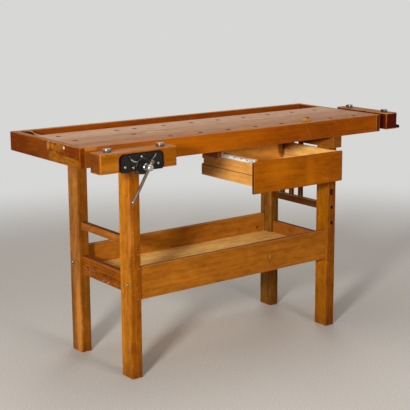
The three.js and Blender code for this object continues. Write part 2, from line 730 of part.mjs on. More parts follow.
// A whole vise with its two dogs. Reach is how far its screw and rods go behind the jaw's face,
// and tilt turns the bar round the screw from hanging straight down.
function makeVise(name, reach, tilt, nutY) {
  const group = new THREE.Group();
  addMesh(group, `${name}_jaw`, viseJaw(), HONEY);
  addMesh(group, `${name}_plate`, visePlate(), IRON);
  addMesh(group, `${name}_screw`, viseScrew(reach, tilt), STEEL);
  const rodStart = RECESS_DEEP;
  addMesh(group, `${name}_rod_left`, rod(ROD_R, Y, [-ROD_X, 0, 0], rodStart, reach), STEEL);
  addMesh(group, `${name}_rod_right`, rod(ROD_R, Y, [ROD_X, 0, 0], rodStart, reach), STEEL);

  const nutLow = [-NUT_PLATE_X, nutY + GAP, NUT_PLATE_Z[0]];
  const nut = box(nutLow, [NUT_PLATE_X, nutY + GAP + NUT_PLATE_THICK, NUT_PLATE_Z[1]]);
  const nutBores = [-ROD_X, 0, ROD_X].map((x) => {
    const radius = (x ? ROD_R : SCREW_R) + RUNNING_GAP;
    return rod(radius, Y, [x, 0, 0], nutY - 1, nutY + 2 * NUT_PLATE_THICK);
  });
  addMesh(group, `${name}_nut_plate`, cut(nut, nutBores), IRON);

  const handle = new THREE.Group();
  addMesh(handle, `${name}_bar`, viseBar(), STEEL);
  addMesh(handle, `${name}_bar_knob`, viseKnob(), STEEL);
  handle.position.set(0, -BAR_OUT, 0);
  handle.rotation.y = tilt;
  group.add(handle);

  for (const [side, x] of [["left", DOG_X[0]], ["right", DOG_X[1]]]) {
    const dog = addMesh(group, `${name}_dog_${side}`, benchDog(), STEEL);
    dog.position.set(x, JAW_THICK / 2, JAW_TOP);
  }
  return group;
}

// A wooden stop: a notched square head on a round shank.
function benchStop() {
  const [wide, deep, high] = STOP_HEAD;
  const [notchWide, notchDeep] = STOP_NOTCH;
  const head = box([-wide / 2, -deep / 2, GAP], [wide / 2, deep / 2, high]);
  const shank = rod(DOG_HOLE_R - RUNNING_GAP, Z, [0, 0, 0], -STOP_SHANK, high / 2, HOLE_SIDES);
  const notch = box([-notchWide / 2, -deep, high - notchDeep], [notchWide / 2, deep, high + 1]);
  return cut(join(head, [shank]), [notch]);
}

const bench = new THREE.Group();
bench.add(makeTop(), makeBase(), makeShelf(), makeDrawer());

const frontTilt = THREE.MathUtils.degToRad(FRONT_BAR_TILT);
const frontNut = dogStripBack - FRONT_VISE_FACE_Y;
const frontVise = makeVise("front", FRONT_VISE_REACH, frontTilt, frontNut);
frontVise.position.set(FRONT_VISE_X, FRONT_VISE_FACE_Y, SCREW_Z);

const tailTilt = THREE.MathUtils.degToRad(TAIL_BAR_TILT);
const tailNut = TAIL_VISE_FACE_X - insideX;
const tailVise = makeVise("tail", TAIL_VISE_REACH, tailTilt, tailNut);
tailVise.position.set(TAIL_VISE_FACE_X, TAIL_VISE_Y, SCREW_Z);
tailVise.rotation.z = Math.PI / 2;
bench.add(frontVise, tailVise);

const stop = addMesh(bench, "bench_stop", benchStop(), PALE);
stop.position.set(ROW_START_X + STOP_HOLE * ROW_PITCH, ROW_FRONT_Y, TOP_HEIGHT);

// The part's zero is on the floor, under the middle of the whole bench.
const whole = new THREE.Box3().setFromObject(bench, true);
const middle = whole.getCenter(new THREE.Vector3());
bench.position.set(-middle.x, -middle.y, -whole.min.z);

const group = new THREE.Group();
group.add(bench);
export default group;
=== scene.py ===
"""Looks of the woodworking bench: its woods, its irons, the turned and threaded steel, small fittings,
the stage and the camera. Metres, +Z up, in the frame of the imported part: +X to the tail vise, +Y back.
"""
import json
import math

import bmesh
import bpy
import numpy as np
from mathutils import Matrix, Vector

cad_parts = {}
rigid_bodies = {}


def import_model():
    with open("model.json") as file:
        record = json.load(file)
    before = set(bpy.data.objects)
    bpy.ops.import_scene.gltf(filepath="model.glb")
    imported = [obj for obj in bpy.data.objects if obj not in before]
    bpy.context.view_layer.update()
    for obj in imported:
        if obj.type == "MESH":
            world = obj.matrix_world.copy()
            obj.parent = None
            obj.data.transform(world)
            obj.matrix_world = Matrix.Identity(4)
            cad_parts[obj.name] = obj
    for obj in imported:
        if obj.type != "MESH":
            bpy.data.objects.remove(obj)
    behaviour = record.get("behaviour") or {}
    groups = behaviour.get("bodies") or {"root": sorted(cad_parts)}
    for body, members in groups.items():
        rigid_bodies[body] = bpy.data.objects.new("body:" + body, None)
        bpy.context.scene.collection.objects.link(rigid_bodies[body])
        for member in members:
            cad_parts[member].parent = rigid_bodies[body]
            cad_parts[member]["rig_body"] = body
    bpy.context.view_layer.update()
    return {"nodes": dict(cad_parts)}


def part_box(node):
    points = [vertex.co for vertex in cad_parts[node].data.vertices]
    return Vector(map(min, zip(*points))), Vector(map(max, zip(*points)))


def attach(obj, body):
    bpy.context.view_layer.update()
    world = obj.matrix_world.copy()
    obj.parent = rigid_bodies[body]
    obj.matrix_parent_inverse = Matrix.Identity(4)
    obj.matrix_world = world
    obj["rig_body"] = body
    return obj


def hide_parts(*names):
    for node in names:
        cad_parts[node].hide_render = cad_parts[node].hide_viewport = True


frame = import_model()

X, Y, Z = 0, 1, 2
LEFT = np.array([-1.0, 0.0, 0.0])
RIGHT = np.array([1.0, 0.0, 0.0])
BACK = np.array([0.0, 1.0, 0.0])
UP = np.array([0.0, 0.0, 1.0])
MM = 0.001

# Places below are in the bench's own millimetres, which start on the floor under the middle of its top.
TOP_CORNER = np.array([-692.0, -244.0, 782.0])
bench_zero = np.array(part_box("end_board_left")[0]) - TOP_CORNER * MM


def at(x, y, z):
    """A place in the bench's millimetres, as metres in the frame."""
    return bench_zero + np.array([x, y, z]) * MM


def srgb(red, green, blue):
    """A screen colour from 0 to 255 as linear light: the usual sRGB curve, then full alpha."""
    value = np.array([red, green, blue]) / 255
    linear = np.where(value > 0.04045, ((value + 0.055) / 1.055) ** 2.4, value / 12.92)
    return (*linear, 1.0)


def times(colour, factors):
    """A colour with each of its channels multiplied, and its alpha kept."""
    return (*(np.array(colour[:3]) * factors), 1.0)


# Colours of wear, dirt and marks, and of painted shade
PALE_EDGE = srgb(214, 150, 84)
PALE_CHIP = srgb(226, 190, 142)
OLD_YELLOW = srgb(186, 122, 34)
JOINT_DIRT = srgb(84, 48, 28)
# Dark stains, dirt and dark joint lines; also the painted shadows on the drawer's left side and in its back
# corner
DARK_STAIN_AND_SHADE = srgb(66, 30, 10)
RED_STAIN = srgb(120, 40, 14)
MAROON = srgb(92, 30, 8)
# Painted shade on the walls of holes and slots
BORE_SHADE = srgb(40, 20, 9)

# Where most of a noise's values lie, and how squarely a face looks along an axis to count as facing it
MOST = (0.3, 0.7)
SQUARELY = (0.7, 0.9)
UPWARD = (0.6, 0.85)
RAGGED_SCALE = 90.0


class Finish:
    """A material's node tree, made by small steps that each give back a socket."""

    def __init__(self, name):
        self.material = bpy.data.materials.new(name)
        self.material.use_nodes = True
        self.tree = self.material.node_tree
        self.tree.nodes.clear()
        self.shader = self.put("ShaderNodeBsdfPrincipled")
        self.output = self.put("ShaderNodeOutputMaterial")
        self.tree.links.new(self.shader.outputs[0], self.output.inputs[0])
        self.place = self.put("ShaderNodeTexCoord").outputs["Object"]
        geometry = self.put("ShaderNodeNewGeometry")
        self.normal = geometry.outputs["Normal"]
        self.flat_normal = geometry.outputs["True Normal"]

    def put(self, kind, inputs=None, **settings):
        """A new node with its settings, and its inputs each linked to a socket or set to a value."""
        made = self.tree.nodes.new(kind)
        for key, value in settings.items():
            setattr(made, key, value)
        for key, value in (inputs or {}).items():
            self.feed(made.inputs[key], value)
        return made

    def feed(self, socket, value):
        """Links a socket to another socket, or sets it to a value."""
        if isinstance(value, bpy.types.NodeSocket):
            self.tree.links.new(value, socket)
        else:
            socket.default_value = value

    def set(self, **values):
        """Values or sockets for the shader, by its input names with spaces written as underscores."""
        for key, value in values.items():
            self.feed(self.shader.inputs[key.replace("_", " ")], value)

    def stretched(self, scale=(1, 1, 1), shift=(0, 0, 0)):
        """Object coordinates times a scale on each axis, moved by a shift."""
        inputs = {"Vector": self.place, "Location": shift, "Scale": scale}
        return self.put("ShaderNodeMapping", inputs).outputs[0]

    def noise(self, vector, scale, detail=2.0, rough=0.5, distortion=0.0):
        """Soft noise with about a scale of spots to the metre."""
        inputs = {"Vector": vector, "Scale": scale, "Detail": detail,
                  "Roughness": rough, "Distortion": distortion}
        return self.put("ShaderNodeTexNoise", inputs).outputs[0]

    def math(self, operation, first, second=0.0, third=0.0, clamp=False):
        """One operation on up to three numbers."""
        inputs = {0: first, 1: second, 2: third}
        return self.put("ShaderNodeMath", inputs, operation=operation, use_clamp=clamp).outputs[0]

    def vector(self, operation, first, second=(0, 0, 0), out=0):
        """One operation on two vectors, whose output 1 is a number."""
        inputs = {0: first, 1: second}
        return self.put("ShaderNodeVectorMath", inputs, operation=operation).outputs[out]

    def parts(self, vector):
        """The X, Y and Z of a vector."""
        return self.put("ShaderNodeSeparateXYZ", {0: vector}).outputs

    def facing(self, axis):
        """How squarely the surface faces along an axis: the dot product with its normal."""
        return self.vector("DOT_PRODUCT", self.normal, tuple(axis), out=1)

    def span(self, value, low, high, to_low=0.0, to_high=1.0):
        """A value between low and high carried smoothly onto a new range."""
        inputs = {"Value": value, "From Min": low, "From Max": high, "To Min": to_low, "To Max": to_high}
        return self.put("ShaderNodeMapRange", inputs, interpolation_type="SMOOTHSTEP").outputs[0]

    def mix(self, share, first, second, blend="MIX"):
        """A share of the second colour mixed, or blended in another way, into the first."""
        made = self.put("ShaderNodeMix", data_type="RGBA", blend_type=blend)
        self.feed(made.inputs[0], share)
        self.feed(made.inputs[6], first)
        self.feed(made.inputs[7], second)
        return made.outputs[2]

    def ramp(self, share, stops):
        """Colours along a share, each stop a place and a colour."""
        made = self.put("ShaderNodeValToRGB", {0: share})
        elements = made.color_ramp.elements
        while len(elements) < len(stops):
            elements.new(0.5)
        for element, (place, colour) in zip(elements, stops):
            element.position = place
            element.color = colour
        return made.outputs[0]

    def tones(self, noise, dark, pale):
        """From a dark tone to a pale one over most of a noise's values."""
        return self.ramp(noise, [(MOST[0], dark), (MOST[1], pale)])

    def bump(self, height, depth, strength=1.0):
        """The normal tilted by a height, whose 0 and 1 lie a depth apart."""
        inputs = {"Height": height, "Distance": depth, "Strength": strength}
        return self.put("ShaderNodeBump", inputs).outputs[0]

    def layered(self, layers):
        """A half, plus the sum of each layer's distance from a half times its weight."""
        total = 0.5 - 0.5 * sum(weight for _, weight in layers)
        for layer, weight in layers:
            total = self.math("MULTIPLY_ADD", layer, weight, total)
        return total

    def depths(self, low, high):
        """How deep a face lies in a box, and how far a point is from the box's nearest edge. From a, b and
        c, the distances to the nearer face on each axis, the first is their sum weighted by the normal,
        and the second is the middle one of the three: max(min(a, b), min(max(a, b), c))."""
        from_low = self.vector("SUBTRACT", self.place, tuple(low))
        from_high = self.vector("SUBTRACT", tuple(high), self.place)
        nearer = self.vector("MINIMUM", from_low, from_high)
        inset = self.vector("DOT_PRODUCT", self.vector("ABSOLUTE", self.flat_normal), nearer, out=1)
        a, b, c = self.parts(nearer)
        smaller = self.math("MINIMUM", a, b)
        larger = self.math("MAXIMUM", a, b)
        return inset, self.math("MAXIMUM", smaller, self.math("MINIMUM", larger, c))

    def spot(self, centre, reach, soft=0.5, ragged=0.35):
        """1 inside an ellipsoid round a point and 0 outside, its edge broken by noise."""
        away = self.vector("SUBTRACT", self.place, tuple(centre))
        scaled = self.vector("DIVIDE", away, tuple(reach))
        distance = self.vector("LENGTH", scaled, out=1)
        edge = self.noise(self.place, RAGGED_SCALE)
        broken = self.math("MULTIPLY_ADD", edge, 2 * ragged, -ragged)
        return self.span(self.math("ADD", distance, broken), 1 + soft / 2, 1 - soft / 2)

    def scratch(self, start, end, width):
        """1 on a straight line between two points and 0 past its width, by the distance to the segment."""
        run = end - start
        away = self.vector("SUBTRACT", self.place, tuple(start))
        along = self.vector("DOT_PRODUCT", away, tuple(run / (run @ run)), out=1)
        along = self.math("ADD", along, 0.0, clamp=True)
        nearest = self.put("ShaderNodeVectorMath", {0: tuple(run), "Scale": along}, operation="SCALE")
        distance = self.vector("LENGTH", self.vector("SUBTRACT", away, nearest.outputs[0]), out=1)
        return self.span(distance, width, width / 3)


def stretch(grain, share):
    """A scale that draws a noise out along the grain."""
    scale = np.ones(3)
    scale[grain] = share
    return tuple(scale)


STREAK_DRAWN_OUT = 0.16
CHIP_EDGE = 0.08


# Marks: each is a function of a finish that gives a colour and how much of it shows
def patch(colour, strength, centre, reach, soft=0.6):
    """A ragged patch round a place, in bench millimetres."""
    def mark(finish):
        mask = finish.spot(at(*centre), np.array(reach) * MM, soft)
        return colour, finish.math("MULTIPLY", mask, strength)
    return mark


def walls(colour, strength, centre, reach):
    """The upright faces round a place, in bench millimetres."""
    def mark(finish):
        inside = finish.spot(at(*centre), np.array(reach) * MM, 0.1, 0.0)
        level = finish.vector("DOT_PRODUCT", finish.flat_normal, tuple(UP), out=1)
        upright = finish.span(finish.math("ABSOLUTE", level), 0.6, 0.3)
        return colour, finish.math("MULTIPLY", finish.math("MULTIPLY", inside, upright), strength)
    return mark


def scratch(colour, strength, start, end, width):
    """A thin straight scratch between two places, in bench millimetres."""
    def mark(finish):
        mask = finish.scratch(at(*start), at(*end), width * MM)
        return colour, finish.math("MULTIPLY", mask, strength)
    return mark


def chips(colour, strength, centre, reach, size, above=0.60):
    """Small chips of a size round a place: a noise's spots above a level, inside a ragged patch."""
    def mark(finish):
        inside = finish.spot(at(*centre), np.array(reach) * MM, 0.8)
        speck = finish.span(finish.noise(finish.place, 1 / (size * MM), 1.0), above, above + CHIP_EDGE)
        mask = finish.math("MULTIPLY", inside, speck)
        return colour, finish.math("MULTIPLY", mask, strength)
    return mark


def streaks(colour, strength, centre, reach, along, size, share=0.5):
    """Streaks of a size inside a ragged patch: a noise drawn out along an axis, cut so that about a
    share of the patch shows."""
    def mark(finish):
        inside = finish.spot(at(*centre), np.array(reach) * MM, 0.7)
        drawn = finish.noise(finish.stretched(stretch(along, STREAK_DRAWN_OUT)), 1 / (size * MM), 3.0, 0.6)
        streak = finish.span(drawn, 0.57 - 0.2 * share, 0.63 - 0.2 * share)
        return colour, finish.math("MULTIPLY", finish.math("MULTIPLY", inside, streak), strength)
    return mark


SEED_STEP = np.array([1.37, 2.11, 0.73])
DARK_STREAK = np.array([0.62, 0.54, 0.42])
PALE_STREAK = np.array([1.36, 1.44, 1.56])

# Noises of a wood: how far each is drawn out along the grain, its scale, detail, roughness and
# distortion, and its weight in the sum that picks the tone
WOOD_NOISES = {
    "wide": (0.06, (26.0, 2.0, 0.5, 0.5), 0.65),
    "narrow": (0.035, (105.0, 3.0, 0.55, 0.2), 0.75),
    "hair": (0.02, (460.0, 2.0, 0.6), 0.6),
    "cloud": (1.0, (8.0, 2.0), 0.65),
    "blotch": (0.4, (62.0, 2.0, 0.55, 0.3), 0.95),
}
FIGURE = {"Scale": 26.0, "Distortion": 7.0, "Detail": 2.0, "Detail Scale": 1.2}
FIGURE_DRAWN_OUT = 0.05
FIGURE_WEIGHT = 0.16
WORN_THIN = (0.28, 0.5, 0.7, 1.0)
FLECK_DRAWN_OUT = 0.2
FLECK_SCALE = 620.0
FLECK_SHARE = (0.60, 0.70, 0.0, 0.35)
EDGE_SCALE = 55.0
EDGE_BREAKS = (0.36, 0.62, 0.25)
# Painted shade in a board's holes: the depth inside its box where it begins and where it is full, and its
# strength
BORE_DEPTH = (4.5 * MM, 7 * MM)
BORE_STRENGTH = 0.9
WOOD_GLOSS = (-0.06, 0.08)
GRAIN_RELIEF = 0.0005
GRAIN_STRENGTH = 0.3


def grain_tones(tone, depth):
    """Three stops round a tone: its dark streak, itself and its pale streak, apart by a depth."""
    dark = times(tone, 1 + (DARK_STREAK - 1) * depth)
    pale = times(tone, 1 + (PALE_STREAK - 1) * depth)
    return [(0.0, dark), (0.5, tone), (1.0, pale)]


def wood(node, tone, grain, seed, shine=0.05, rough=0.5, depth=1.0, edge=None, upper=None,
         end_shade=0.6, side_faces_painted_paler=None, bored=True, marks=()):
    """Wood on one board. Wide and narrow streaks, hairs, a wavy figure, blotches and broad clouds are
    noises drawn out along the grain, and their sum picks a tone. Short dark flecks, a darker end
    grain, an upper face pale from wear, edges pale with wear on some boards and dark with dirt on others,
    and single marks come on top of it; the right upper stretcher's upper face is a painted highlight, and
    some marks are painted shade. edge is (colour, strength, width in mm), upper is (tone, strength), and
    the side factor is how many times paler the faces to the left and right are painted, for each channel:
    painted light on the side faces. Where it is bored, what lies deep inside the board's box, the walls of
    its holes, is painted dark as shade."""
    finish = Finish("wood_" + node)
    shift = tuple(SEED_STEP * seed)
    low, high = (np.array(corner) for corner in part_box(node))
    noises = {}
    layers = []
    for name, (drawn_out, settings, weight) in WOOD_NOISES.items():
        noises[name] = finish.noise(finish.stretched(stretch(grain, drawn_out), shift), *settings)
        layers.append((noises[name], weight))
    wavy = finish.stretched(stretch(grain, FIGURE_DRAWN_OUT), shift)
    figure = finish.put("ShaderNodeTexWave", {"Vector": wavy, **FIGURE},
                        bands_direction="XYZ"[(grain + 1) % 3]).outputs["Fac"]
    share = finish.layered([*layers, (figure, FIGURE_WEIGHT)])
    colour = finish.ramp(share, grain_tones(tone, depth))
    # Left and right faces painted paler: painted light on the side faces
    if side_faces_painted_paler:
        sideways = finish.span(finish.math("ABSOLUTE", finish.facing(RIGHT)), *SQUARELY)
        colour = finish.mix(sideways, colour, finish.ramp(share, grain_tones(times(tone, side_faces_painted_paler), depth)))
    # The upper face takes a paler tone from wear; on the right upper stretcher that tone is a painted
    # highlight
    if upper:
        wear_and_highlight_tone, strength = upper
        level = finish.span(finish.facing(UP), *UPWARD, 0.0, strength)
        wear_and_highlight = finish.math("MULTIPLY", level, finish.span(noises["wide"], *WORN_THIN))
        colour = finish.mix(wear_and_highlight, colour, finish.ramp(share, grain_tones(wear_and_highlight_tone, depth)))

    fleck = finish.noise(finish.stretched(stretch(grain, FLECK_DRAWN_OUT), shift), FLECK_SCALE, 1.0)
    colour = finish.mix(finish.span(fleck, *FLECK_SHARE), colour, times(tone, DARK_STREAK))
    axis = np.zeros(3)
    axis[grain] = 1.0
    end_grain = finish.span(finish.math("ABSOLUTE", finish.facing(axis)), *SQUARELY)
    shade = (end_shade, end_shade, end_shade, 1.0)
    colour = finish.mix(end_grain, colour, finish.mix(1.0, colour, shade, "MULTIPLY"))
    inset, edge_distance = finish.depths(low, high)
    # Painted shade on the walls of the board's holes
    if bored:
        colour = finish.mix(finish.span(inset, *BORE_DEPTH, 0.0, BORE_STRENGTH), colour, BORE_SHADE)
    if edge:
        edge_colour, strength, width = edge
        near = finish.span(edge_distance, width * MM, 0.2 * width * MM)
        broken = finish.span(finish.noise(finish.place, EDGE_SCALE, 3.0), *EDGE_BREAKS, strength)
        colour = finish.mix(finish.math("MULTIPLY", near, broken), colour, edge_colour)
    for mark in marks:
        mark_colour, amount = mark(finish)
        colour = finish.mix(amount, colour, mark_colour)
    relief = finish.layered([(noises["hair"], 0.5), (noises["narrow"], 0.5)])
    finish.set(Base_Color=colour, Specular_IOR_Level=shine,
               Roughness=finish.span(noises["cloud"], *MOST, rough + WOOD_GLOSS[0], rough + WOOD_GLOSS[1]),
               Normal=finish.bump(relief, GRAIN_RELIEF, GRAIN_STRENGTH))
    return finish.material


# Steel: scale and weight of its smears and specks, its tint's stops, and how its roughness varies
SMEAR = (30.0, 0.8)
SPECK = (900.0, 0.25)
STEEL_STOPS = [(0.2, 0.7), (0.5, 1.0), (0.8, 1.25)]
STEEL_GLOSS = (-0.05, 0.08)


def bright_steel(name, tint, rough):
    """Turned steel: dull smears and fine specks over a tint."""
    finish = Finish(name)
    smear = finish.noise(finish.place, SMEAR[0])
    speck = finish.noise(finish.place, SPECK[0])
    share = finish.layered([(smear, SMEAR[1]), (speck, SPECK[1])])
    colour = finish.ramp(share, [(stop, times(tint, factor)) for stop, factor in STEEL_STOPS])
    finish.set(Base_Color=colour, Metallic=1.0,
               Roughness=finish.span(smear, *MOST, rough + STEEL_GLOSS[0], rough + STEEL_GLOSS[1]))
    return finish.material


# Cast iron: its black paint, the bare grey under it, and where that shows
IRON_PAINT = (srgb(11, 9, 7), srgb(27, 22, 18))
BARE_IRON = srgb(150, 146, 144)
SAND_SCALE = 420.0
SAND_RELIEF = 0.0005
BLOT_SCALE = 120.0
RIB_DEPTH = 0.9 * MM
BOSS_REACH = (24 * MM, 30 * MM)
FACES_OUT = (0.5, 0.9, 0.35, 1.0)
RUB_SHARE = (0.38, 0.56)
RUB_STRENGTH = 0.8
STRAY_SHARE = (0.64, 0.74, 0.0, 0.3)
IRON_GLOSS = (0.3, 0.5)


def cast_iron(name, inward, worn_from):
    """Black painted cast iron with a sandy skin, rubbed grey on the ribs, which reach out to the plane
    through worn_from, square to the inward direction, but not on the round boss about that place."""
    finish = Finish(name)
    sand = finish.noise(finish.place, SAND_SCALE, 3.0, 0.6)
    blot = finish.noise(finish.place, BLOT_SCALE, 3.0, 0.65)
    away = finish.vector("SUBTRACT", finish.place, tuple(worn_from))
    depth = finish.vector("DOT_PRODUCT", away, tuple(inward), out=1)
    proud = finish.span(depth, RIB_DEPTH, 0.0)
    off_boss = finish.span(finish.vector("LENGTH", away, out=1), *BOSS_REACH)
    faces_out = finish.span(finish.facing(-inward), *FACES_OUT)
    rubbed = finish.math("MULTIPLY", proud, faces_out)
    rubbed = finish.math("MULTIPLY", rubbed, finish.span(blot, *RUB_SHARE))
    rubbed = finish.math("MULTIPLY", rubbed, off_boss)
    stray = finish.span(blot, *STRAY_SHARE)
    grey = finish.math("MAXIMUM", finish.math("MULTIPLY", rubbed, RUB_STRENGTH), stray)
    colour = finish.mix(grey, finish.tones(sand, *IRON_PAINT), BARE_IRON)
    finish.set(Base_Color=colour, Specular_IOR_Level=0.22, Roughness=finish.span(blot, *MOST, *IRON_GLOSS),
               Normal=finish.bump(sand, SAND_RELIEF, 0.6))
    return finish.material


ENAMEL_STOPS = [(0.25, srgb(150, 148, 146)), (0.5, srgb(216, 216, 214)), (0.8, srgb(232, 232, 231))]
ENAMEL_GLOSS = (0.32, 0.5)
RUB_DRAWN_OUT = 0.08


def white_enamel(name):
    """White coated sheet steel with grey rub marks along the runner."""
    finish = Finish(name)
    rub = finish.noise(finish.stretched(stretch(Y, RUB_DRAWN_OUT)), 150.0, 3.0)
    grime = finish.noise(finish.place, 40.0, 3.0)
    colour = finish.ramp(finish.layered([(rub, 0.9), (grime, 0.7)]), ENAMEL_STOPS)
    finish.set(Base_Color=colour, Roughness=finish.span(rub, *MOST, *ENAMEL_GLOSS))
    return finish.material


def painted_slot_shade(name):
    """Painted shade for a slot or a sunk head: a dull dark."""
    finish = Finish(name)
    grime = finish.noise(finish.place, 300.0)
    finish.set(Base_Color=finish.tones(grime, srgb(24, 15, 9), srgb(48, 30, 17)), Roughness=0.75)
    return finish.material


def nylon(name):
    """Yellowed nylon with a faint cloud."""
    finish = Finish(name)
    cloud = finish.noise(finish.place, 120.0, 3.0)
    finish.set(Base_Color=finish.tones(cloud, srgb(112, 92, 66), srgb(142, 122, 94)), Roughness=0.45)
    return finish.material


def put_on(piece, material):
    """The material as the only one of an object."""
    piece.data.materials.clear()
    piece.data.materials.append(material)


def add_piece(name, mesh, body, material):
    """A new object at the origin that rides on a body and takes a material."""
    piece = bpy.data.objects.new(name, mesh)
    bpy.context.scene.collection.objects.link(piece)
    put_on(piece, material)
    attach(piece, body)
    return piece


WELD = 1e-6
SHARP_ANGLE = math.radians(38)
NEARLY_UPRIGHT = 0.9


def smooth_mesh(name, shapes):
    """One mesh from grids of points: each grid's rows and columns become quads, its rows closed round,
    doubled points at seams and poles welded, faces turned outwards and only sharp edges left sharp."""
    points, faces, start = [], [], 0
    for grid in shapes:
        rows, columns = grid.shape[:2]
        index = start + np.arange(rows * columns).reshape(rows, columns)
        beside = np.roll(index, -1, axis=1)
        quads = np.stack([index[:-1], beside[:-1], beside[1:], index[1:]], axis=-1)
        points.append(grid.reshape(-1, 3))
        faces.append(quads.reshape(-1, 4))
        start += rows * columns
    mesh = bpy.data.meshes.new(name)
    mesh.from_pydata(np.concatenate(points).tolist(), [], np.concatenate(faces).tolist())
    solid = bmesh.new()
    solid.from_mesh(mesh)
    bmesh.ops.remove_doubles(solid, verts=solid.verts, dist=WELD)
    bmesh.ops.recalc_face_normals(solid, faces=solid.faces)
    solid.to_mesh(mesh)
    solid.free()
    mesh.polygons.foreach_set("use_smooth", np.ones(len(mesh.polygons), bool))
    mesh.set_sharp_from_angle(angle=SHARP_ANGLE)
    return mesh


def turned(stations, radii, start, direction, sides=48):
    """A turned shape: at each station, in mm along a direction from a start, a ring of its radius.
    Radii are one number for each station, or one for each station and angle round the axis."""
    direction = np.array(direction, float)
    across = np.cross(direction, UP if abs(direction[Z]) < NEARLY_UPRIGHT else RIGHT)
    across /= np.linalg.norm(across)
    other = np.cross(direction, across)
    angle = np.arange(sides) * 2 * np.pi / sides
    round_about = np.cos(angle)[:, None] * across + np.sin(angle)[:, None] * other
    radii = np.broadcast_to(np.array(radii, float).reshape(len(stations), -1), (len(stations), sides))
    along = np.array(stations, float)[:, None, None] * direction
    return start + (along + radii[..., None] * round_about) * MM


def drum(low, high, radius, ease_low, ease_high, steps=5):
    """Stations and radii of a drum whose two rims are rounded by quarter circles."""
    turn = np.linspace(0, np.pi / 2, steps)
    stations = np.concatenate([low + ease_low * (1 - np.cos(turn)), high - ease_high * (1 - np.sin(turn))])
    radii = np.concatenate([radius - ease_low * (1 - np.sin(turn)), radius - ease_high * (1 - np.cos(turn))])
    return np.column_stack([stations, radii])


def closed_profile(*pieces):
    """Stations and radii of pieces in a row, with a point on the axis at each end."""
    body = np.concatenate(pieces)
    ends = [[body[0, 0], 0.0]], body, [[body[-1, 0], 0.0]]
    whole = np.concatenate(ends)
    return whole[:, 0], whole[:, 1]


# Woods of the bench
LONG_X, LONG_Y, LONG_Z = {"grain": X}, {"grain": Y}, {"grain": Z}
VARNISHED = {"edge": (PALE_EDGE, 0.4, 2.6)}
# The legs' left and right faces are painted paler than their fronts and backs, as painted light from the
# side lamp, more so on the left legs
LEFT_LEG = {"edge": (PALE_EDGE, 0.35, 2.4), "depth": 1.35, "side_faces_painted_paler": (1.88, 2.33, 5.6)}
RIGHT_LEG = {"edge": (PALE_EDGE, 0.35, 2.4), "depth": 1.35, "side_faces_painted_paler": (1.54, 1.83, 4.4)}
STRETCHER = {"edge": (PALE_EDGE, 0.3, 2.2), "shine": 0.03, "rough": 0.65, "depth": 1.3}
WORKTOP = {"edge": (JOINT_DIRT, 0.75, 2.4), "shine": 0.15, "rough": 0.56, "depth": 0.8}
RAW = {"shine": 0.06, "rough": 0.6, "depth": 0.6, "edge": (PALE_EDGE, 0.3, 1.6)}
PLYWOOD = {"shine": 0.06, "rough": 0.6, "depth": 1.0}

WORN_STRIP = (srgb(165, 116, 82), 0.9)
WORN_JAW = (srgb(160, 108, 65), 0.85)
WORN_END = (srgb(158, 108, 66), 0.9)
RED_TOP = (srgb(114, 56, 26), 0.85)
# The pale grey top of the right upper stretcher is a painted highlight
PAINTED_HIGHLIGHT_TOP = (srgb(150, 128, 106), 0.7)

# Marks of the boards, with their places and reaches in bench millimetres
OCHRE = srgb(150, 92, 12)
RUBBED = srgb(184, 118, 48)
END_MARKS = [
    patch(srgb(126, 62, 4), 0.6, (-692, 40, 824), (8, 80, 40), 1.0),
    streaks(srgb(78, 36, 4), 0.4, (-692, 120, 806), (8, 120, 30), Y, 8, 0.5),
    patch(OCHRE, 0.85, (-692, -70, 802), (8, 36, 19), 0.6),
    patch(OCHRE, 0.85, (-692, -160, 795), (8, 84, 16), 0.7),
    streaks(OCHRE, 0.7, (-692, -90, 836), (8, 56, 14), Y, 9, 0.6),
    streaks(srgb(104, 48, 4), 0.6, (-692, -120, 803), (8, 130, 26), Y, 6, 0.5),
    chips(RUBBED, 0.55, (-692, -120, 803), (8, 120, 24), 6),
    patch(RUBBED, 0.7, (-692, -33, 834), (8, 8, 15), 0.8),
    patch(RUBBED, 0.4, (-692, -66, 838), (8, 6, 10), 0.8),
    patch(PALE_CHIP, 0.9, (-692, -141, 839), (8, 6, 5)),
    chips(PALE_CHIP, 0.6, (-692, -100, 848), (8, 130, 4), 6),
    patch(DARK_STAIN_AND_SHADE, 0.35, (-692, 76, 792), (8, 30, 8), 0.9),
    patch(DARK_STAIN_AND_SHADE, 0.3, (-684, -244, 806), (7, 8, 30), 0.8),
]
JAW_MARKS = [
    patch(MAROON, 0.5, (-706, -362, 826), (9, 20, 15), 0.9),
    patch(MAROON, 0.45, (-706, -336, 814), (9, 12, 24), 0.9),
    patch(DARK_STAIN_AND_SHADE, 0.3, (-706, -345, 842), (9, 18, 5), 0.7),
    patch(OLD_YELLOW, 0.3, (-662, -393, 806), (40, 8, 13), 1.0),
    streaks(srgb(172, 92, 26), 0.7, (-560, -352, 850), (160, 26, 5), X, 8, 0.5),
    patch(srgb(188, 148, 118), 0.55, (-640, -376, 850), (46, 9, 5), 0.9),
    patch(srgb(178, 136, 104), 0.5, (-560, -366, 850), (40, 9, 5), 0.9),
    chips(PALE_CHIP, 0.4, (-640, -393, 848), (90, 8, 4), 7),
]
WORKTOP_MARKS = [
    patch(PALE_CHIP, 0.75, (-308, -80, 850), (20, 7, 8)),
    patch(PALE_CHIP, 0.7, (-271, -87, 850), (15, 6, 8)),
    scratch(DARK_STAIN_AND_SHADE, 0.55, (-454, -51, 850), (-433, -78, 850), 5),
    patch(RED_STAIN, 0.55, (-394, -88, 850), (9, 6, 8)),
]
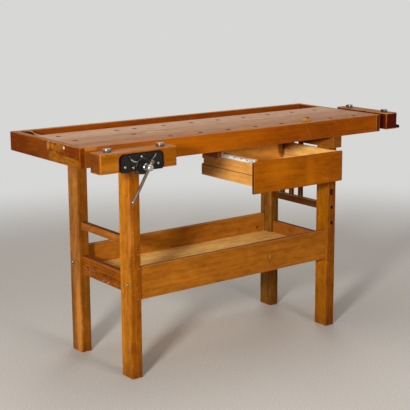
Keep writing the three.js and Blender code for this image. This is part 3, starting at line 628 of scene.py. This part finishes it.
STRIP_MARKS = [
    # The first two patches, on the front behind the front jaw, are smudges and painted shade of the jaw
    patch(srgb(116, 56, 14), 0.6, (-655, -244, 812), (34, 8, 40), 0.9),
    patch(srgb(128, 66, 22), 0.45, (-550, -244, 830), (150, 8, 40), 0.6),
    patch(OLD_YELLOW, 0.5, (-655, -244, 845), (26, 8, 7), 0.9),
    patch(srgb(178, 96, 8), 0.4, (-220, -244, 812), (260, 8, 60), 1.2),
    patch(srgb(116, 50, 2), 0.35, (450, -244, 812), (300, 8, 60), 1.2),
    scratch(srgb(204, 124, 70), 0.3, (291, -244, 836), (318, -244, 787), 1.4),
    scratch(DARK_STAIN_AND_SHADE, 0.6, (412, -244, 831), (436, -244, 834), 3),
]
DRAWER_MARKS = [
    scratch(srgb(206, 112, 44), 0.5, (334, -290, 640), (363, -290, 630), 1.6),
    patch(srgb(200, 116, 16), 0.22, (274, -290, 660), (20, 8, 50), 1.6),
    patch(srgb(176, 98, 8), 0.4, (120, -290, 690), (60, 8, 40), 1.2),
    patch(srgb(118, 56, 2), 0.35, (400, -290, 690), (50, 8, 60), 1.2),
]
# Painted shade on the walls of the slot in the tray's end block
SLOT_PAINTED_SHADE = [walls(BORE_SHADE, 0.9, (-649, 160, 830), (18, 74, 60))]
# The drawer's left side: a painted shadow of the front jaw over its rear, and a dark line along its seam
SEAM_LINE_AND_PAINTED_SHADOW = [
    patch(DARK_STAIN_AND_SHADE, 0.4, (12, 36, 690), (8, 70, 70), 1.2),
    scratch(DARK_STAIN_AND_SHADE, 0.35, (12, -279, 682), (12, 49, 682), 2.2),
]
# Painted shadow in the drawer's back right corner, on the back and on the right side
CORNER_PAINTED_SHADOW = [
    patch(DARK_STAIN_AND_SHADE, 0.75, (412, 33, 716), (24, 9, 44), 0.6),
    patch(DARK_STAIN_AND_SHADE, 0.7, (417, 34, 736), (9, 46, 33), 0.7),
]
KNOT_MARKS = [
    patch(DARK_STAIN_AND_SHADE, 0.35, (148, -204, 339), (13, 6, 20), 1.0),
    patch(OLD_YELLOW, 0.45, (148, -204, 341), (7, 6, 12), 0.8),
]
STRETCHER_MARKS = [
    chips(PALE_CHIP, 0.7, (-475, -50, 314), (20, 75, 9), 5),
    chips(PALE_CHIP, 0.6, (-475, 85, 330), (20, 45, 20), 5, 0.62),
    chips(DARK_STAIN_AND_SHADE, 0.45, (-475, 0, 335), (20, 140, 34), 9, 0.56),
]


def leg_marks(x, y):
    """Wear on a leg at a place: small pale dents, dark ones, a grimy foot and pale chips at its end."""
    return [
        chips(PALE_CHIP, 0.4, (x, y, 380), (60, 70, 420), 6, 0.70),
        chips(DARK_STAIN_AND_SHADE, 0.4, (x, y, 300), (60, 70, 400), 8, 0.68),
        patch(DARK_STAIN_AND_SHADE, 0.35, (x, y, 0), (60, 70, 46), 1.2),
        chips(PALE_EDGE, 0.4, (x, y, 0), (60, 70, 4), 7, 0.60),
    ]


BACK_LEG_MARKS = [
    *leg_marks(-464, 175),
    patch(srgb(100, 56, 20), 0.6, (-486, 196, 190), (12, 15, 150), 0.8),
    patch(srgb(212, 132, 48), 0.65, (-486, 157, 110), (12, 17, 160), 0.8),
]
FRONT_LEG_MARKS = [
    *leg_marks(-464, -175),
    patch(srgb(206, 128, 50), 0.35, (-484, -206, 520), (12, 10, 60), 1.2),
    patch(srgb(196, 116, 40), 0.3, (-484, -204, 640), (12, 8, 50), 1.2),
]
PEG_LEG_MARKS = [
    *leg_marks(464, -175),
    # The brown patch in the first peg hole paints its walls as half lit, over their painted shade
    patch(srgb(104, 52, 24), 0.75, (468, -196, 555), (11, 40, 15), 0.3),
]

BOARDS = {
    "end_board_left": dict(tone=srgb(112, 46, 0), upper=WORN_END, marks=END_MARKS,
                           edge=(RUBBED, 0.6, 2.4), end_shade=0.95, shine=0.02, **LONG_Y),
    "end_board_right": dict(tone=srgb(109, 43, 1), upper=WORN_END, end_shade=0.75, **VARNISHED, **LONG_Y),
    "dog_strip": dict(tone=srgb(142, 68, 1), upper=WORN_STRIP, marks=STRIP_MARKS, **VARNISHED, **LONG_X),
    "worktop_board_front": dict(tone=srgb(169, 122, 86), marks=WORKTOP_MARKS, **WORKTOP, **LONG_X),
    "worktop_board_back": dict(tone=srgb(185, 143, 112), **WORKTOP, **LONG_X),
    "back_rail": dict(tone=srgb(124, 55, 3), upper=WORN_END, **VARNISHED, **LONG_X),
    "tray_floor": dict(tone=srgb(142, 88, 40), **PLYWOOD, **LONG_X),
    "tray_end_block": dict(tone=srgb(132, 76, 34), upper=WORN_END, marks=SLOT_PAINTED_SHADE, bored=False,
                           **VARNISHED, **LONG_Y),
    "bearer_left": dict(tone=srgb(154, 88, 24), **VARNISHED, **LONG_Y),
    "bearer_right": dict(tone=srgb(150, 86, 24), edge=(PALE_EDGE, 0.12, 2.2), **LONG_Y),
    "leg_front_left": dict(tone=srgb(126, 66, 3), marks=FRONT_LEG_MARKS, **LEFT_LEG, **LONG_Z),
    "leg_front_right": dict(tone=srgb(121, 63, 1), marks=PEG_LEG_MARKS, **RIGHT_LEG, **LONG_Z),
    "leg_back_left": dict(tone=srgb(118, 65, 11), marks=BACK_LEG_MARKS, **LEFT_LEG, **LONG_Z),
    "leg_back_right": dict(tone=srgb(106, 62, 8), marks=leg_marks(464, 175), **RIGHT_LEG, **LONG_Z),
    "upper_stretcher_left": dict(tone=srgb(153, 89, 31), upper=RED_TOP, **STRETCHER, **LONG_Y),
    "upper_stretcher_right": dict(tone=srgb(82, 43, 12), upper=PAINTED_HIGHLIGHT_TOP, **STRETCHER, **LONG_Y),
    "lower_stretcher_left": dict(tone=srgb(136, 71, 10), upper=RED_TOP, marks=STRETCHER_MARKS,
                                 **STRETCHER, **LONG_Y),
    "lower_stretcher_right": dict(tone=srgb(146, 84, 26), upper=RED_TOP, **STRETCHER, **LONG_Y),
    "shelf_rail_front": dict(tone=srgb(145, 83, 16), marks=KNOT_MARKS, **VARNISHED, **LONG_X),
    "shelf_rail_back": dict(tone=srgb(152, 90, 22), **VARNISHED, **LONG_X),
    "shelf_floor": dict(tone=srgb(246, 192, 107), **PLYWOOD, **LONG_X),
    "shelf_cleat_front": dict(tone=srgb(150, 88, 26), **VARNISHED, **LONG_X),
    "shelf_cleat_back": dict(tone=srgb(150, 88, 26), **VARNISHED, **LONG_X),
    # The drawer front's end faces are darkened well past end grain, as painted shade of the gap beside the
    # drawer side
    "drawer_front": dict(tone=srgb(139, 71, 1), marks=DRAWER_MARKS, edge=(PALE_EDGE, 0.15, 2.0),
                         end_shade=0.3, **LONG_X),
    # The drawer's right side and back are toned brighter than its left side: painted light inside the drawer
    "drawer_side_left": dict(tone=srgb(220, 156, 77), marks=SEAM_LINE_AND_PAINTED_SHADOW, **RAW, **LONG_Y),
    "drawer_side_right": dict(tone=srgb(255, 192, 104), marks=CORNER_PAINTED_SHADOW, **RAW, **LONG_Y),
    "drawer_back": dict(tone=srgb(243, 158, 64), marks=CORNER_PAINTED_SHADOW, **RAW, **LONG_X),
    "drawer_floor": dict(tone=srgb(182, 126, 66), **PLYWOOD, **LONG_X),
    "drawer_hanger": dict(tone=srgb(120, 66, 22), **VARNISHED, **LONG_Z),
    "front_jaw": dict(tone=srgb(125, 67, 5), upper=WORN_JAW, marks=JAW_MARKS,
                      edge=(srgb(172, 108, 60), 0.7, 4.8), end_shade=0.78, **LONG_X),
    "tail_jaw": dict(tone=srgb(79, 17, 0), upper=WORN_JAW, edge=(PALE_EDGE, 0.6, 4.5),
                     end_shade=0.75, **LONG_Y),
    "bench_stop": dict(tone=srgb(176, 120, 64), **RAW, **LONG_Z),
}
for number in (1, 2, 3):
    BOARDS[f"rack_slat_{number}"] = dict(tone=srgb(92, 48, 12), **VARNISHED, **LONG_Z)

# Each board's slot, honey_wood apart from these, in a table that nothing in this script reads
OTHER_WOODS = {
    "worn_wood": ("worktop_board_front", "worktop_board_back"),
    "pale_wood": ("drawer_side_left", "drawer_side_right", "drawer_back", "bench_stop"),
    "dark_wood": ("end_board_left", "drawer_hanger", "rack_slat_1", "rack_slat_2", "rack_slat_3"),
    "plywood": ("shelf_floor", "drawer_floor", "tray_floor"),
}
SLOT_OF = dict.fromkeys(BOARDS, "honey_wood")
for other_slot, nodes in OTHER_WOODS.items():
    SLOT_OF.update(dict.fromkeys(nodes, other_slot))

BOARD_EASE = 0.7 * MM
CAST_EASE = 1.1 * MM
FLAT_ANGLE = math.radians(1)
BEVEL_ANGLE = math.radians(30)


def eased_copy(node, width, segments, material):
    """A node's own faces, welded and joined where they are flat, with each sharp edge rounded over."""
    source = frame["nodes"][node]
    mesh = bpy.data.meshes.new(node + "_eased")
    solid = bmesh.new()
    solid.from_mesh(source.data)
    bmesh.ops.remove_doubles(solid, verts=solid.verts, dist=WELD)
    bmesh.ops.dissolve_limit(solid, angle_limit=FLAT_ANGLE, verts=solid.verts, edges=solid.edges)
    solid.to_mesh(mesh)
    solid.free()
    mesh.polygons.foreach_set("use_smooth", np.ones(len(mesh.polygons), bool))
    piece = add_piece(node + "_eased", mesh, source["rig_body"], material)
    bevel = piece.modifiers.new("eased_edges", "BEVEL")
    bevel.width = width
    bevel.segments = segments
    bevel.limit_method = "ANGLE"
    bevel.angle_limit = BEVEL_ANGLE
    flats = piece.modifiers.new("flat_faces", "WEIGHTED_NORMAL")
    flats.mode = "FACE_AREA"
    flats.weight = 100
    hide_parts(node)
    return piece


def dress_wood():
    """Each wooden node gets its own wood, its grain along its length and its own seed."""
    for seed, (node, look) in enumerate(BOARDS.items(), 1):
        eased_copy(node, BOARD_EASE, 2, wood(node, seed=seed, **look))


# Each vise's own frame: where its screw meets the jaw's face, the way along the jaw, the way in,
# how far its screw and rods reach, and how far its bar is turned from hanging straight down
VISES = {
    "front": dict(zero=at(-550, -393, 798), along=RIGHT, inward=BACK, reach=375.0, tilt=math.radians(31)),
    "tail": dict(zero=at(795, -86, 798), along=BACK, inward=LEFT, reach=268.0, tilt=math.radians(84.5)),
}

# Drums of the turned pieces, in mm: low and high station, radius, and how far each rim is rounded
SCREW_HUB = (-51.0, -29.0, 11.0, 5.0, 2.5)
SCREW_COLLAR = (-26.0, -10.0, 11.5, 3.0, 1.0)
BAR_END = (-129.0, -113.0, 7.0, 4.0, 2.0)
BAR_SHANK = (-113.0, 19.0, 5.0, 0.0, 0.5)
BAR_KNOB = (11.3, 27.3, 7.0, 2.0, 4.5)
DOG_SHOULDER = 0.3
DOG_HEAD_R = 14.0
DOG_SHANK = (-52.0, DOG_SHOULDER, 8.95, 2.0, 0.0)
DOG_HEAD = (DOG_SHOULDER, 11.0, DOG_HEAD_R, 0.6, 1.8)
NECK_R = 8.0
NECK_END = 8.3
SCREW_TIP = 3.0
ROD_START = 8.0
ROD_R = 9.0
ROD_ROUNDS = (0.5, 2.5)
THREAD_START = 9.0
THREAD_ROOT = 8.45
THREAD_CREST = 9.9
THREAD_PITCH = 6.0
THREAD_STEP = 0.75
THREAD_FADE = 9.0
ROD_X = 50.0
BAR_OUT = 40.0
DOG_X = {"left": -111.0, "right": 91.0}
JAW_MIDDLE = 32.0
JAW_TOP = 52.0
DOG_FLAT = 11.0
SCREW_SIDES = 48
DOG_SIDES = 96
LEAST_COSINE = 1e-6


def vise_place(vise, x, y, z):
    """A place in a vise's own millimetres, as metres in the frame."""
    return vise["zero"] + (vise["along"] * x + vise["inward"] * y + UP * z) * MM


def screw_shape(vise):
    """Hub, neck and collar by drums in a row, then the shaft: its radius is the thread's root plus a
    ridge whose height is a trapezoid of the phase, station over pitch less the turn round the axis,
    fading out at both ends."""
    head = np.concatenate([
        [[SCREW_HUB[0], 0.0]], drum(*SCREW_HUB), [[SCREW_HUB[1], NECK_R], [SCREW_COLLAR[0], NECK_R]],
        drum(*SCREW_COLLAR), [[SCREW_COLLAR[1], NECK_R], [NECK_END, NECK_R], [NECK_END, THREAD_ROOT]]])
    end = vise["reach"]
    stations = np.arange(THREAD_START, end - SCREW_TIP, THREAD_STEP)
    turn = np.arange(SCREW_SIDES) / SCREW_SIDES
    phase = (stations[:, None] / THREAD_PITCH - turn) % 1.0
    ridge = np.clip(6 * (0.5 - np.abs(phase - 0.5)) - 1, 0, 1)
    ends = np.minimum(stations - stations[0], stations[-1] - stations)
    height = (THREAD_CREST - THREAD_ROOT) * np.clip(ends / THREAD_FADE, 0, 1)
    shaft = THREAD_ROOT + ridge * height[:, None]
    tip = np.array([[end - SCREW_TIP, THREAD_ROOT], [end, THREAD_ROOT - SCREW_TIP], [end, 0.0]])
    round_about = np.ones(SCREW_SIDES)
    radii = np.concatenate([head[:, 1:] * round_about, shaft, tip[:, 1:] * round_about])
    stations = np.concatenate([head[:, 0], stations, tip[:, 0]])
    return turned(stations, radii, vise["zero"], vise["inward"], SCREW_SIDES)


def dog_shape(vise, x):
    """A shank and a head, both turned. The head's radius is cut by a flat: at each angle the lesser of
    the round radius and the flat's distance over the sine of the angle from the flat's own line."""
    stations, radii = closed_profile(drum(*DOG_SHANK), drum(*DOG_HEAD))
    start = vise_place(vise, x, JAW_MIDDLE, JAW_TOP)
    ring = turned([0.0], [1.0], np.zeros(3), UP, DOG_SIDES)[0] / MM
    inward = np.maximum(ring @ vise["inward"], LEAST_COSINE)
    most = np.where(stations[:, None] >= DOG_SHOULDER, DOG_FLAT / inward, DOG_HEAD_R)
    return turned(stations, np.minimum(radii[:, None], most), start, UP, DOG_SIDES)


def dress_vise(name, vise, iron, finishes):
    """The plates with eased castings, and turned pieces for the screw, the bar, its knob, the rods and
    the dogs, each in the place of its node."""
    for part in ("plate", "nut_plate"):
        eased_copy(f"{name}_{part}", CAST_EASE, 3, iron)
    up_bar = vise["along"] * math.sin(vise["tilt"]) + UP * math.cos(vise["tilt"])
    hub = vise_place(vise, 0, -BAR_OUT, 0)
    bar = closed_profile(drum(*BAR_END), drum(*BAR_SHANK))
    knob = closed_profile(drum(*BAR_KNOB))
    rod = closed_profile(drum(ROD_START, vise["reach"], ROD_R, *ROD_ROUNDS))
    shapes = {
        "screw": screw_shape(vise),
        "bar": turned(*bar, hub, up_bar),
        "bar_knob": turned(*knob, hub, up_bar),
        "rod_left": turned(*rod, vise_place(vise, -ROD_X, 0, 0), vise["inward"]),
        "rod_right": turned(*rod, vise_place(vise, ROD_X, 0, 0), vise["inward"]),
    }
    for side, x in DOG_X.items():
        shapes["dog_" + side] = dog_shape(vise, x)
    for part, shape in shapes.items():
        node = f"{name}_{part}"
        body = frame["nodes"][node]["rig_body"]
        finish = finishes.get(part, finishes["other"])
        mesh = smooth_mesh(node + "_turned", [shape])
        piece = add_piece(node + "_turned", mesh, body, finish)
        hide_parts(node)


PLATE_FACE = 0.7
RIB_HEIGHT = 4.0


def dress_vises(steel, dull_steel, bar_steels):
    """Both vises, each with its own cast iron, dull dogs and the steel of its own bar and knob."""
    for name, vise in VISES.items():
        rib_front = vise_place(vise, 0, PLATE_FACE - RIB_HEIGHT, 0)
        iron = cast_iron(name + "_cast_iron", vise["inward"], rib_front)
        finishes = {"bar": bar_steels[name], "bar_knob": bar_steels[name],
                    "dog_left": dull_steel, "dog_right": dull_steel, "other": steel}
        dress_vise(name, vise, iron, finishes)


HEAD_SINK = 0.4
SLOT_SINK = 0.3
SLOT_SIDES = 24


def round_head(place, out, radius, height, sides=20):
    """A round screw head on a face: a drum with a well rounded rim, sunk a little into what carries it."""
    return turned(*closed_profile(drum(-HEAD_SINK, height, radius, 0.1, 0.85 * height)), place, out, sides)


def slot_bar(place, out, along, long, wide, proud):
    """A flat round-ended bar on a face, standing for a screw's slot or a punched slot, which the script
    paints dark as the slot's shade: an oval at two heights, each closed by its middle point. The oval is
    half the length times the cosine and half the width times the sine, each to a power below 1 that squares
    it up."""
    angle = np.arange(SLOT_SIDES) * 2 * np.pi / SLOT_SIDES
    across = np.cross(out, along)
    lengthwise = np.sign(np.cos(angle)) * np.abs(np.cos(angle)) ** 0.5 * long / 2
    crosswise = np.sign(np.sin(angle)) * np.abs(np.sin(angle)) ** 0.8 * wide / 2
    oval = lengthwise[:, None] * along + crosswise[:, None] * across
    levels = [(-SLOT_SINK, 0.0), (-SLOT_SINK, 1.0), (proud, 1.0), (proud, 0.0)]
    rings = [place + (out * height + oval * share) * MM for height, share in levels]
    return np.stack(rings)


def box_shape(low, high):
    """A box as four rows of four points: the middle of its left end, that end's corners, the corners of
    its right end, and that end's middle. A corner takes its Y and its Z from the low or the high one."""
    low, high = at(*low), at(*high)
    corners = np.where([[0, 0], [1, 0], [1, 1], [0, 1]], high[Y:], low[Y:])
    middle = np.broadcast_to((low[Y:] + high[Y:]) / 2, (4, 2))
    ends = np.array([low[X], low[X], high[X], high[X]])
    across = np.broadcast_to(ends[:, None, None], (4, 4, 1))
    return np.concatenate([across, np.stack([middle, corners, corners, middle])], axis=-1)


TRAY_BATTEN_Y = (74.0, 93.7)
TRAY_BATTEN_Z = (797.0, 813.7)
BATTEN_ENDS_X = [(-671.5, -486.5), (-442.5, 442.5), (486.5, 671.5)]
SEAM_FILLS_X = [(22.4, 23.9), (417.1, 418.6)]
SEAM_FILL_Y = (-278.5, 48.5)
SEAM_FILL_Z = (681.0, 683.0)


def add_tray_batten():
    """A batten under the worktop's back edge, in lengths between the end boards and the bearers, which
    closes the tray toward the front."""
    (front, back), (bottom, top) = TRAY_BATTEN_Y, TRAY_BATTEN_Z
    shapes = [box_shape((left, front, bottom), (right, back, top)) for left, right in BATTEN_ENDS_X]
    honey_wood = bpy.data.materials["wood_back_rail"]
    add_piece("tray_batten", smooth_mesh("tray_batten", shapes), "bench", honey_wood)


def add_seam_fills():
    """Filler in the seam groove on the inner face of each drawer side, level with the wood."""
    (front, back), (bottom, top) = SEAM_FILL_Y, SEAM_FILL_Z
    shapes = [box_shape((left, front, bottom), (right, back, top)) for left, right in SEAM_FILLS_X]
    pale_wood = bpy.data.materials["wood_drawer_side_right"]
    mesh = smooth_mesh("drawer_seam_fills", shapes)
    add_piece("drawer_seam_fills", mesh, "drawer_body", pale_wood)


# Small fittings, in mm: where they are, and a head's radius and height
PLATE_BOLTS = [(-65, 2), (-33, -3), (-2, 31), (61, 3)]
PLATE_BOLT_HEAD = (4.2, 2.4)
LEG_OUT = 486.0
LEG_BOLT_Y = 190.0
LEG_BOLT_Z = 343.0
LEG_BOLT_CUP = (7.0, 0.9)
LEG_BOLT_HEAD = (4.6, 2.6)
RAIL_IN = 184.0
RAIL_NUT_X = 404.0
RAIL_NUT_Z = 345.0
RAIL_NUT_HEAD = (5.0, 0.6)
DRAWER_SCREW_HEAD = (4.2, 1.6)
DRAWER_SCREWS = [((12, -189, 703), LEFT), ((429, -189, 703), RIGHT)]
RUNNER_FACE_X = 9.7
RIVETS_Y = (-265, -234, -120, -10)
RIVET_Z = 734.0
RIVET_HEAD = (3.2, 1.0)
RUNNER_SLOTS_Y = (-200, -160, -60)
RUNNER_SLOT_Z = 736.0
ROLLER = (0.0, 7.0, 5.5, 1.2, 1.2)
ROLLER_PLACE = (-1.6, -50, 721.3)
# A slot's length, its width and how far it stands proud
RAIL_NUT_SLOT = (7.0, 1.6, 0.75)
RUNNER_SLOT = (14.0, 4.5, 0.2)


def add_fittings(steel, dark_steel_and_shade, brass, slot_shade):
    """Bolts on the vise plates and legs, nuts in the shelf rails, screws on the drawer and its runners."""
    for name, vise in VISES.items():
        places = [vise_place(vise, x, PLATE_FACE, z) for x, z in PLATE_BOLTS]
        heads = [round_head(place, -vise["inward"], *PLATE_BOLT_HEAD) for place in places]
        mesh = smooth_mesh(name + "_plate_bolts", heads)
        add_piece(name + "_plate_bolts", mesh, name + "_jaw_body", steel)

    bolt_ways = [(out, y) for out in (LEFT, RIGHT) for y in (-LEG_BOLT_Y, LEG_BOLT_Y)]
    places = [(at(out[X] * LEG_OUT, y, LEG_BOLT_Z), out) for out, y in bolt_ways]
    cups = [round_head(place, out, *LEG_BOLT_CUP) for place, out in places]
    add_piece("leg_bolt_cups", smooth_mesh("leg_bolt_cups", cups), "bench", dark_steel_and_shade)
    heads = [round_head(place, out, *LEG_BOLT_HEAD) for place, out in places]
    add_piece("leg_bolt_heads", smooth_mesh("leg_bolt_heads", heads), "bench", steel)

    nuts, slots = [], []
    for side in (-1, 1):
        out = -side * BACK
        for x in (-RAIL_NUT_X, RAIL_NUT_X):
            place = at(x, side * RAIL_IN, RAIL_NUT_Z)
            nuts.append(round_head(place, out, *RAIL_NUT_HEAD))
            slots.append(slot_bar(place, out, RIGHT, *RAIL_NUT_SLOT))
    add_piece("rail_nuts", smooth_mesh("rail_nuts", nuts), "bench", dark_steel_and_shade)
    # Dark bars in the nuts' slots: painted shade
    add_piece("rail_nut_slots", smooth_mesh("rail_nut_slots", slots), "bench", slot_shade)

    screws = [round_head(at(*place), out, *DRAWER_SCREW_HEAD) for place, out in DRAWER_SCREWS]
    add_piece("drawer_screws", smooth_mesh("drawer_screws", screws), "drawer_body", brass)
    rivets = [round_head(at(RUNNER_FACE_X, y, RIVET_Z), LEFT, *RIVET_HEAD) for y in RIVETS_Y]
    add_piece("runner_rivets", smooth_mesh("runner_rivets", rivets), "drawer_body", steel)
    places = [at(RUNNER_FACE_X, y, RUNNER_SLOT_Z) for y in RUNNER_SLOTS_Y]
    slots = [slot_bar(place, LEFT, BACK, *RUNNER_SLOT) for place in places]
    # Dark bars in the runner's punched slots: painted shade
    add_piece("runner_slots", smooth_mesh("runner_slots", slots), "drawer_body", slot_shade)

    roller = turned(*closed_profile(drum(*ROLLER)), at(*ROLLER_PLACE), RIGHT)
    mesh = smooth_mesh("runner_roller", [roller])
    add_piece("runner_roller", mesh, "bench", nylon("nylon"))


def dress_runners(enamel):
    """White enamel on the four runners."""
    for node in ("drawer_runner_left", "drawer_runner_right", "fixed_runner_left", "fixed_runner_right"):
        put_on(frame["nodes"][node], enamel)


# Camera: its place, its turn from +Y toward +X, its tilt down and its roll, then its lens in pixels
CAMERA_PLACE = (-2.4459, -3.0788, 1.3925)
CAMERA_YAW = math.radians(39.231)
CAMERA_TILT = math.radians(11.315)
CAMERA_ROLL = math.radians(0.154)
FOCAL_PIXELS = 1050.8
PRINCIPAL_PIXEL = (251.0, 187.2)
PICTURE_PIXELS = 410
SENSOR_MM = 36.0


def add_camera():
    """Axes from the turn, tilt and roll: forward, right and up, then the focal length and the shift."""
    forward = np.array([math.sin(CAMERA_YAW) * math.cos(CAMERA_TILT),
                        math.cos(CAMERA_YAW) * math.cos(CAMERA_TILT), -math.sin(CAMERA_TILT)])
    level = np.array([math.cos(CAMERA_YAW), -math.sin(CAMERA_YAW), 0.0])
    upright = np.cross(level, forward)
    right = level * math.cos(CAMERA_ROLL) + upright * math.sin(CAMERA_ROLL)
    up = upright * math.cos(CAMERA_ROLL) - level * math.sin(CAMERA_ROLL)
    data = bpy.data.cameras.new("camera")
    data.sensor_width = SENSOR_MM
    data.lens = FOCAL_PIXELS * SENSOR_MM / PICTURE_PIXELS
    data.shift_x = (PICTURE_PIXELS / 2 - PRINCIPAL_PIXEL[0]) / PICTURE_PIXELS
    data.shift_y = (PRINCIPAL_PIXEL[1] - PICTURE_PIXELS / 2) / PICTURE_PIXELS
    camera = bpy.data.objects.new("camera", data)
    place = np.eye(4)
    place[:3] = np.column_stack([right, up, -forward, CAMERA_PLACE])
    bpy.context.scene.collection.objects.link(camera)
    camera.matrix_world = Matrix(place.tolist())
    bpy.context.scene.camera = camera


def add_lamp(name, place, aim, size, power, mirrored):
    """A soft rectangular lamp at a place, turned so that it looks at a point. Where it isn't mirrored,
    shiny faces don't show it."""
    data = bpy.data.lights.new(name, "AREA")
    data.shape = "RECTANGLE"
    data.size, data.size_y = size
    data.energy = power
    lamp = bpy.data.objects.new(name, data)
    bpy.context.scene.collection.objects.link(lamp)
    lamp.location = place
    lamp.rotation_euler = (Vector(aim) - Vector(place)).to_track_quat("-Z", "Y").to_euler()
    lamp.visible_camera = False
    lamp.visible_glossy = mirrored


WALL = srgb(215, 215, 214)
FLOOR_HALF = 30.0
FLOOR_FADE = (1.7, 3.4)
AMBIENT = 0.14


def seen_rays(tree):
    """1 for a ray from the camera, a mirror or glass, else 0."""
    path = tree.nodes.new("ShaderNodeLightPath")
    total = path.outputs["Is Camera Ray"]
    for ray in ("Is Glossy Ray", "Is Transmission Ray"):
        add = tree.nodes.new("ShaderNodeMath")
        add.operation = "MAXIMUM"
        tree.links.new(total, add.inputs[0])
        tree.links.new(path.outputs[ray], add.inputs[1])
        total = add.outputs[0]
    return total


def add_floor():
    """A pale floor that keeps the shadow near the bench and fades to the wall's tone further out."""
    mesh = bpy.data.meshes.new("floor")
    corners = np.array([(-1, -1, 0), (1, -1, 0), (1, 1, 0), (-1, 1, 0)]) * FLOOR_HALF
    mesh.from_pydata(corners.tolist(), [], [(0, 1, 2, 3)])
    floor = bpy.data.objects.new("floor", mesh)
    bpy.context.scene.collection.objects.link(floor)
    finish = Finish("pale_floor")
    speck = finish.noise(finish.place, 160.0, 3.0)
    colour = finish.tones(speck, srgb(186, 179, 170), srgb(204, 198, 190))
    finish.set(Base_Color=colour, Roughness=0.7, Specular_IOR_Level=0.1)
    out = finish.vector("LENGTH", finish.place, out=1)
    fade = finish.math("MULTIPLY", finish.span(out, *FLOOR_FADE), seen_rays(finish.tree))
    glow = finish.put("ShaderNodeEmission", {"Color": WALL, "Strength": 1.0}).outputs[0]
    blend = finish.put("ShaderNodeMixShader", {0: fade, 1: finish.shader.outputs[0], 2: glow})
    finish.tree.links.new(blend.outputs[0], finish.output.inputs[0])
    put_on(floor, finish.material)


def add_world():
    """Even soft light from all round, seen as the wall's plain tone."""
    world = bpy.data.worlds.new("studio")
    world.use_nodes = True
    bpy.context.scene.world = world
    tree = world.node_tree
    tree.nodes.clear()
    light = tree.nodes.new("ShaderNodeBackground")
    light.inputs["Color"].default_value = (1, 1, 1, 1)
    light.inputs["Strength"].default_value = AMBIENT
    seen = tree.nodes.new("ShaderNodeBackground")
    seen.inputs["Color"].default_value = WALL
    seen.inputs["Strength"].default_value = 1.0
    choose = tree.nodes.new("ShaderNodeMixShader")
    output = tree.nodes.new("ShaderNodeOutputWorld")
    tree.links.new(seen_rays(tree), choose.inputs[0])
    tree.links.new(light.outputs[0], choose.inputs[1])
    tree.links.new(seen.outputs[0], choose.inputs[2])
    tree.links.new(choose.outputs[0], output.inputs[0])


# A soft lamp from the left, weaker ones above and in front, and one that lifts the back: each lamp's
# place, aim and size in metres, its power in watts, and whether shiny faces show it
LAMPS = {
    "side_light": ((-3.45, -2.23, 1.55), (-0.05, 0.0, 0.66), (0.5, 0.4), 162, True),
    "top_light": ((-0.2, 0.3, 3.4), (0.0, 0.1, 0.6), (2.8, 2.0), 36, True),
    "front_light": ((0.0, -3.6, 1.5), (0.15, 0.0, 0.7), (0.9, 0.6), 45, False),
    "back_light": ((2.6, 3.2, 2.6), (0.0, 0.1, 0.5), (2.0, 1.6), 50, False),
}


steel = bright_steel("bright_steel", srgb(188, 183, 174), 0.24)
dull_steel = bright_steel("dull_steel", srgb(142, 136, 127), 0.2)
brown_steel = bright_steel("brown_steel", srgb(140, 122, 103), 0.2)
dark_steel_and_shade = bright_steel("dark_steel_and_shade", srgb(44, 38, 33), 0.4)
brass = bright_steel("pale_brass", srgb(232, 200, 146), 0.45)
slot_shade = painted_slot_shade("painted_slot_shade")
enamel = white_enamel("white_enamel")
dress_wood()
# The tail vise's bar and knob take dark steel as painted shade
dress_vises(steel, dull_steel, {"front": brown_steel, "tail": dark_steel_and_shade})
dress_runners(enamel)
add_tray_batten()
add_seam_fills()
add_fittings(steel, dark_steel_and_shade, brass, slot_shade)
add_floor()
add_world()
for lamp_name, lamp_settings in LAMPS.items():
    add_lamp(lamp_name, *lamp_settings)
add_camera()
bpy.context.scene.view_settings.view_transform = "Standard"
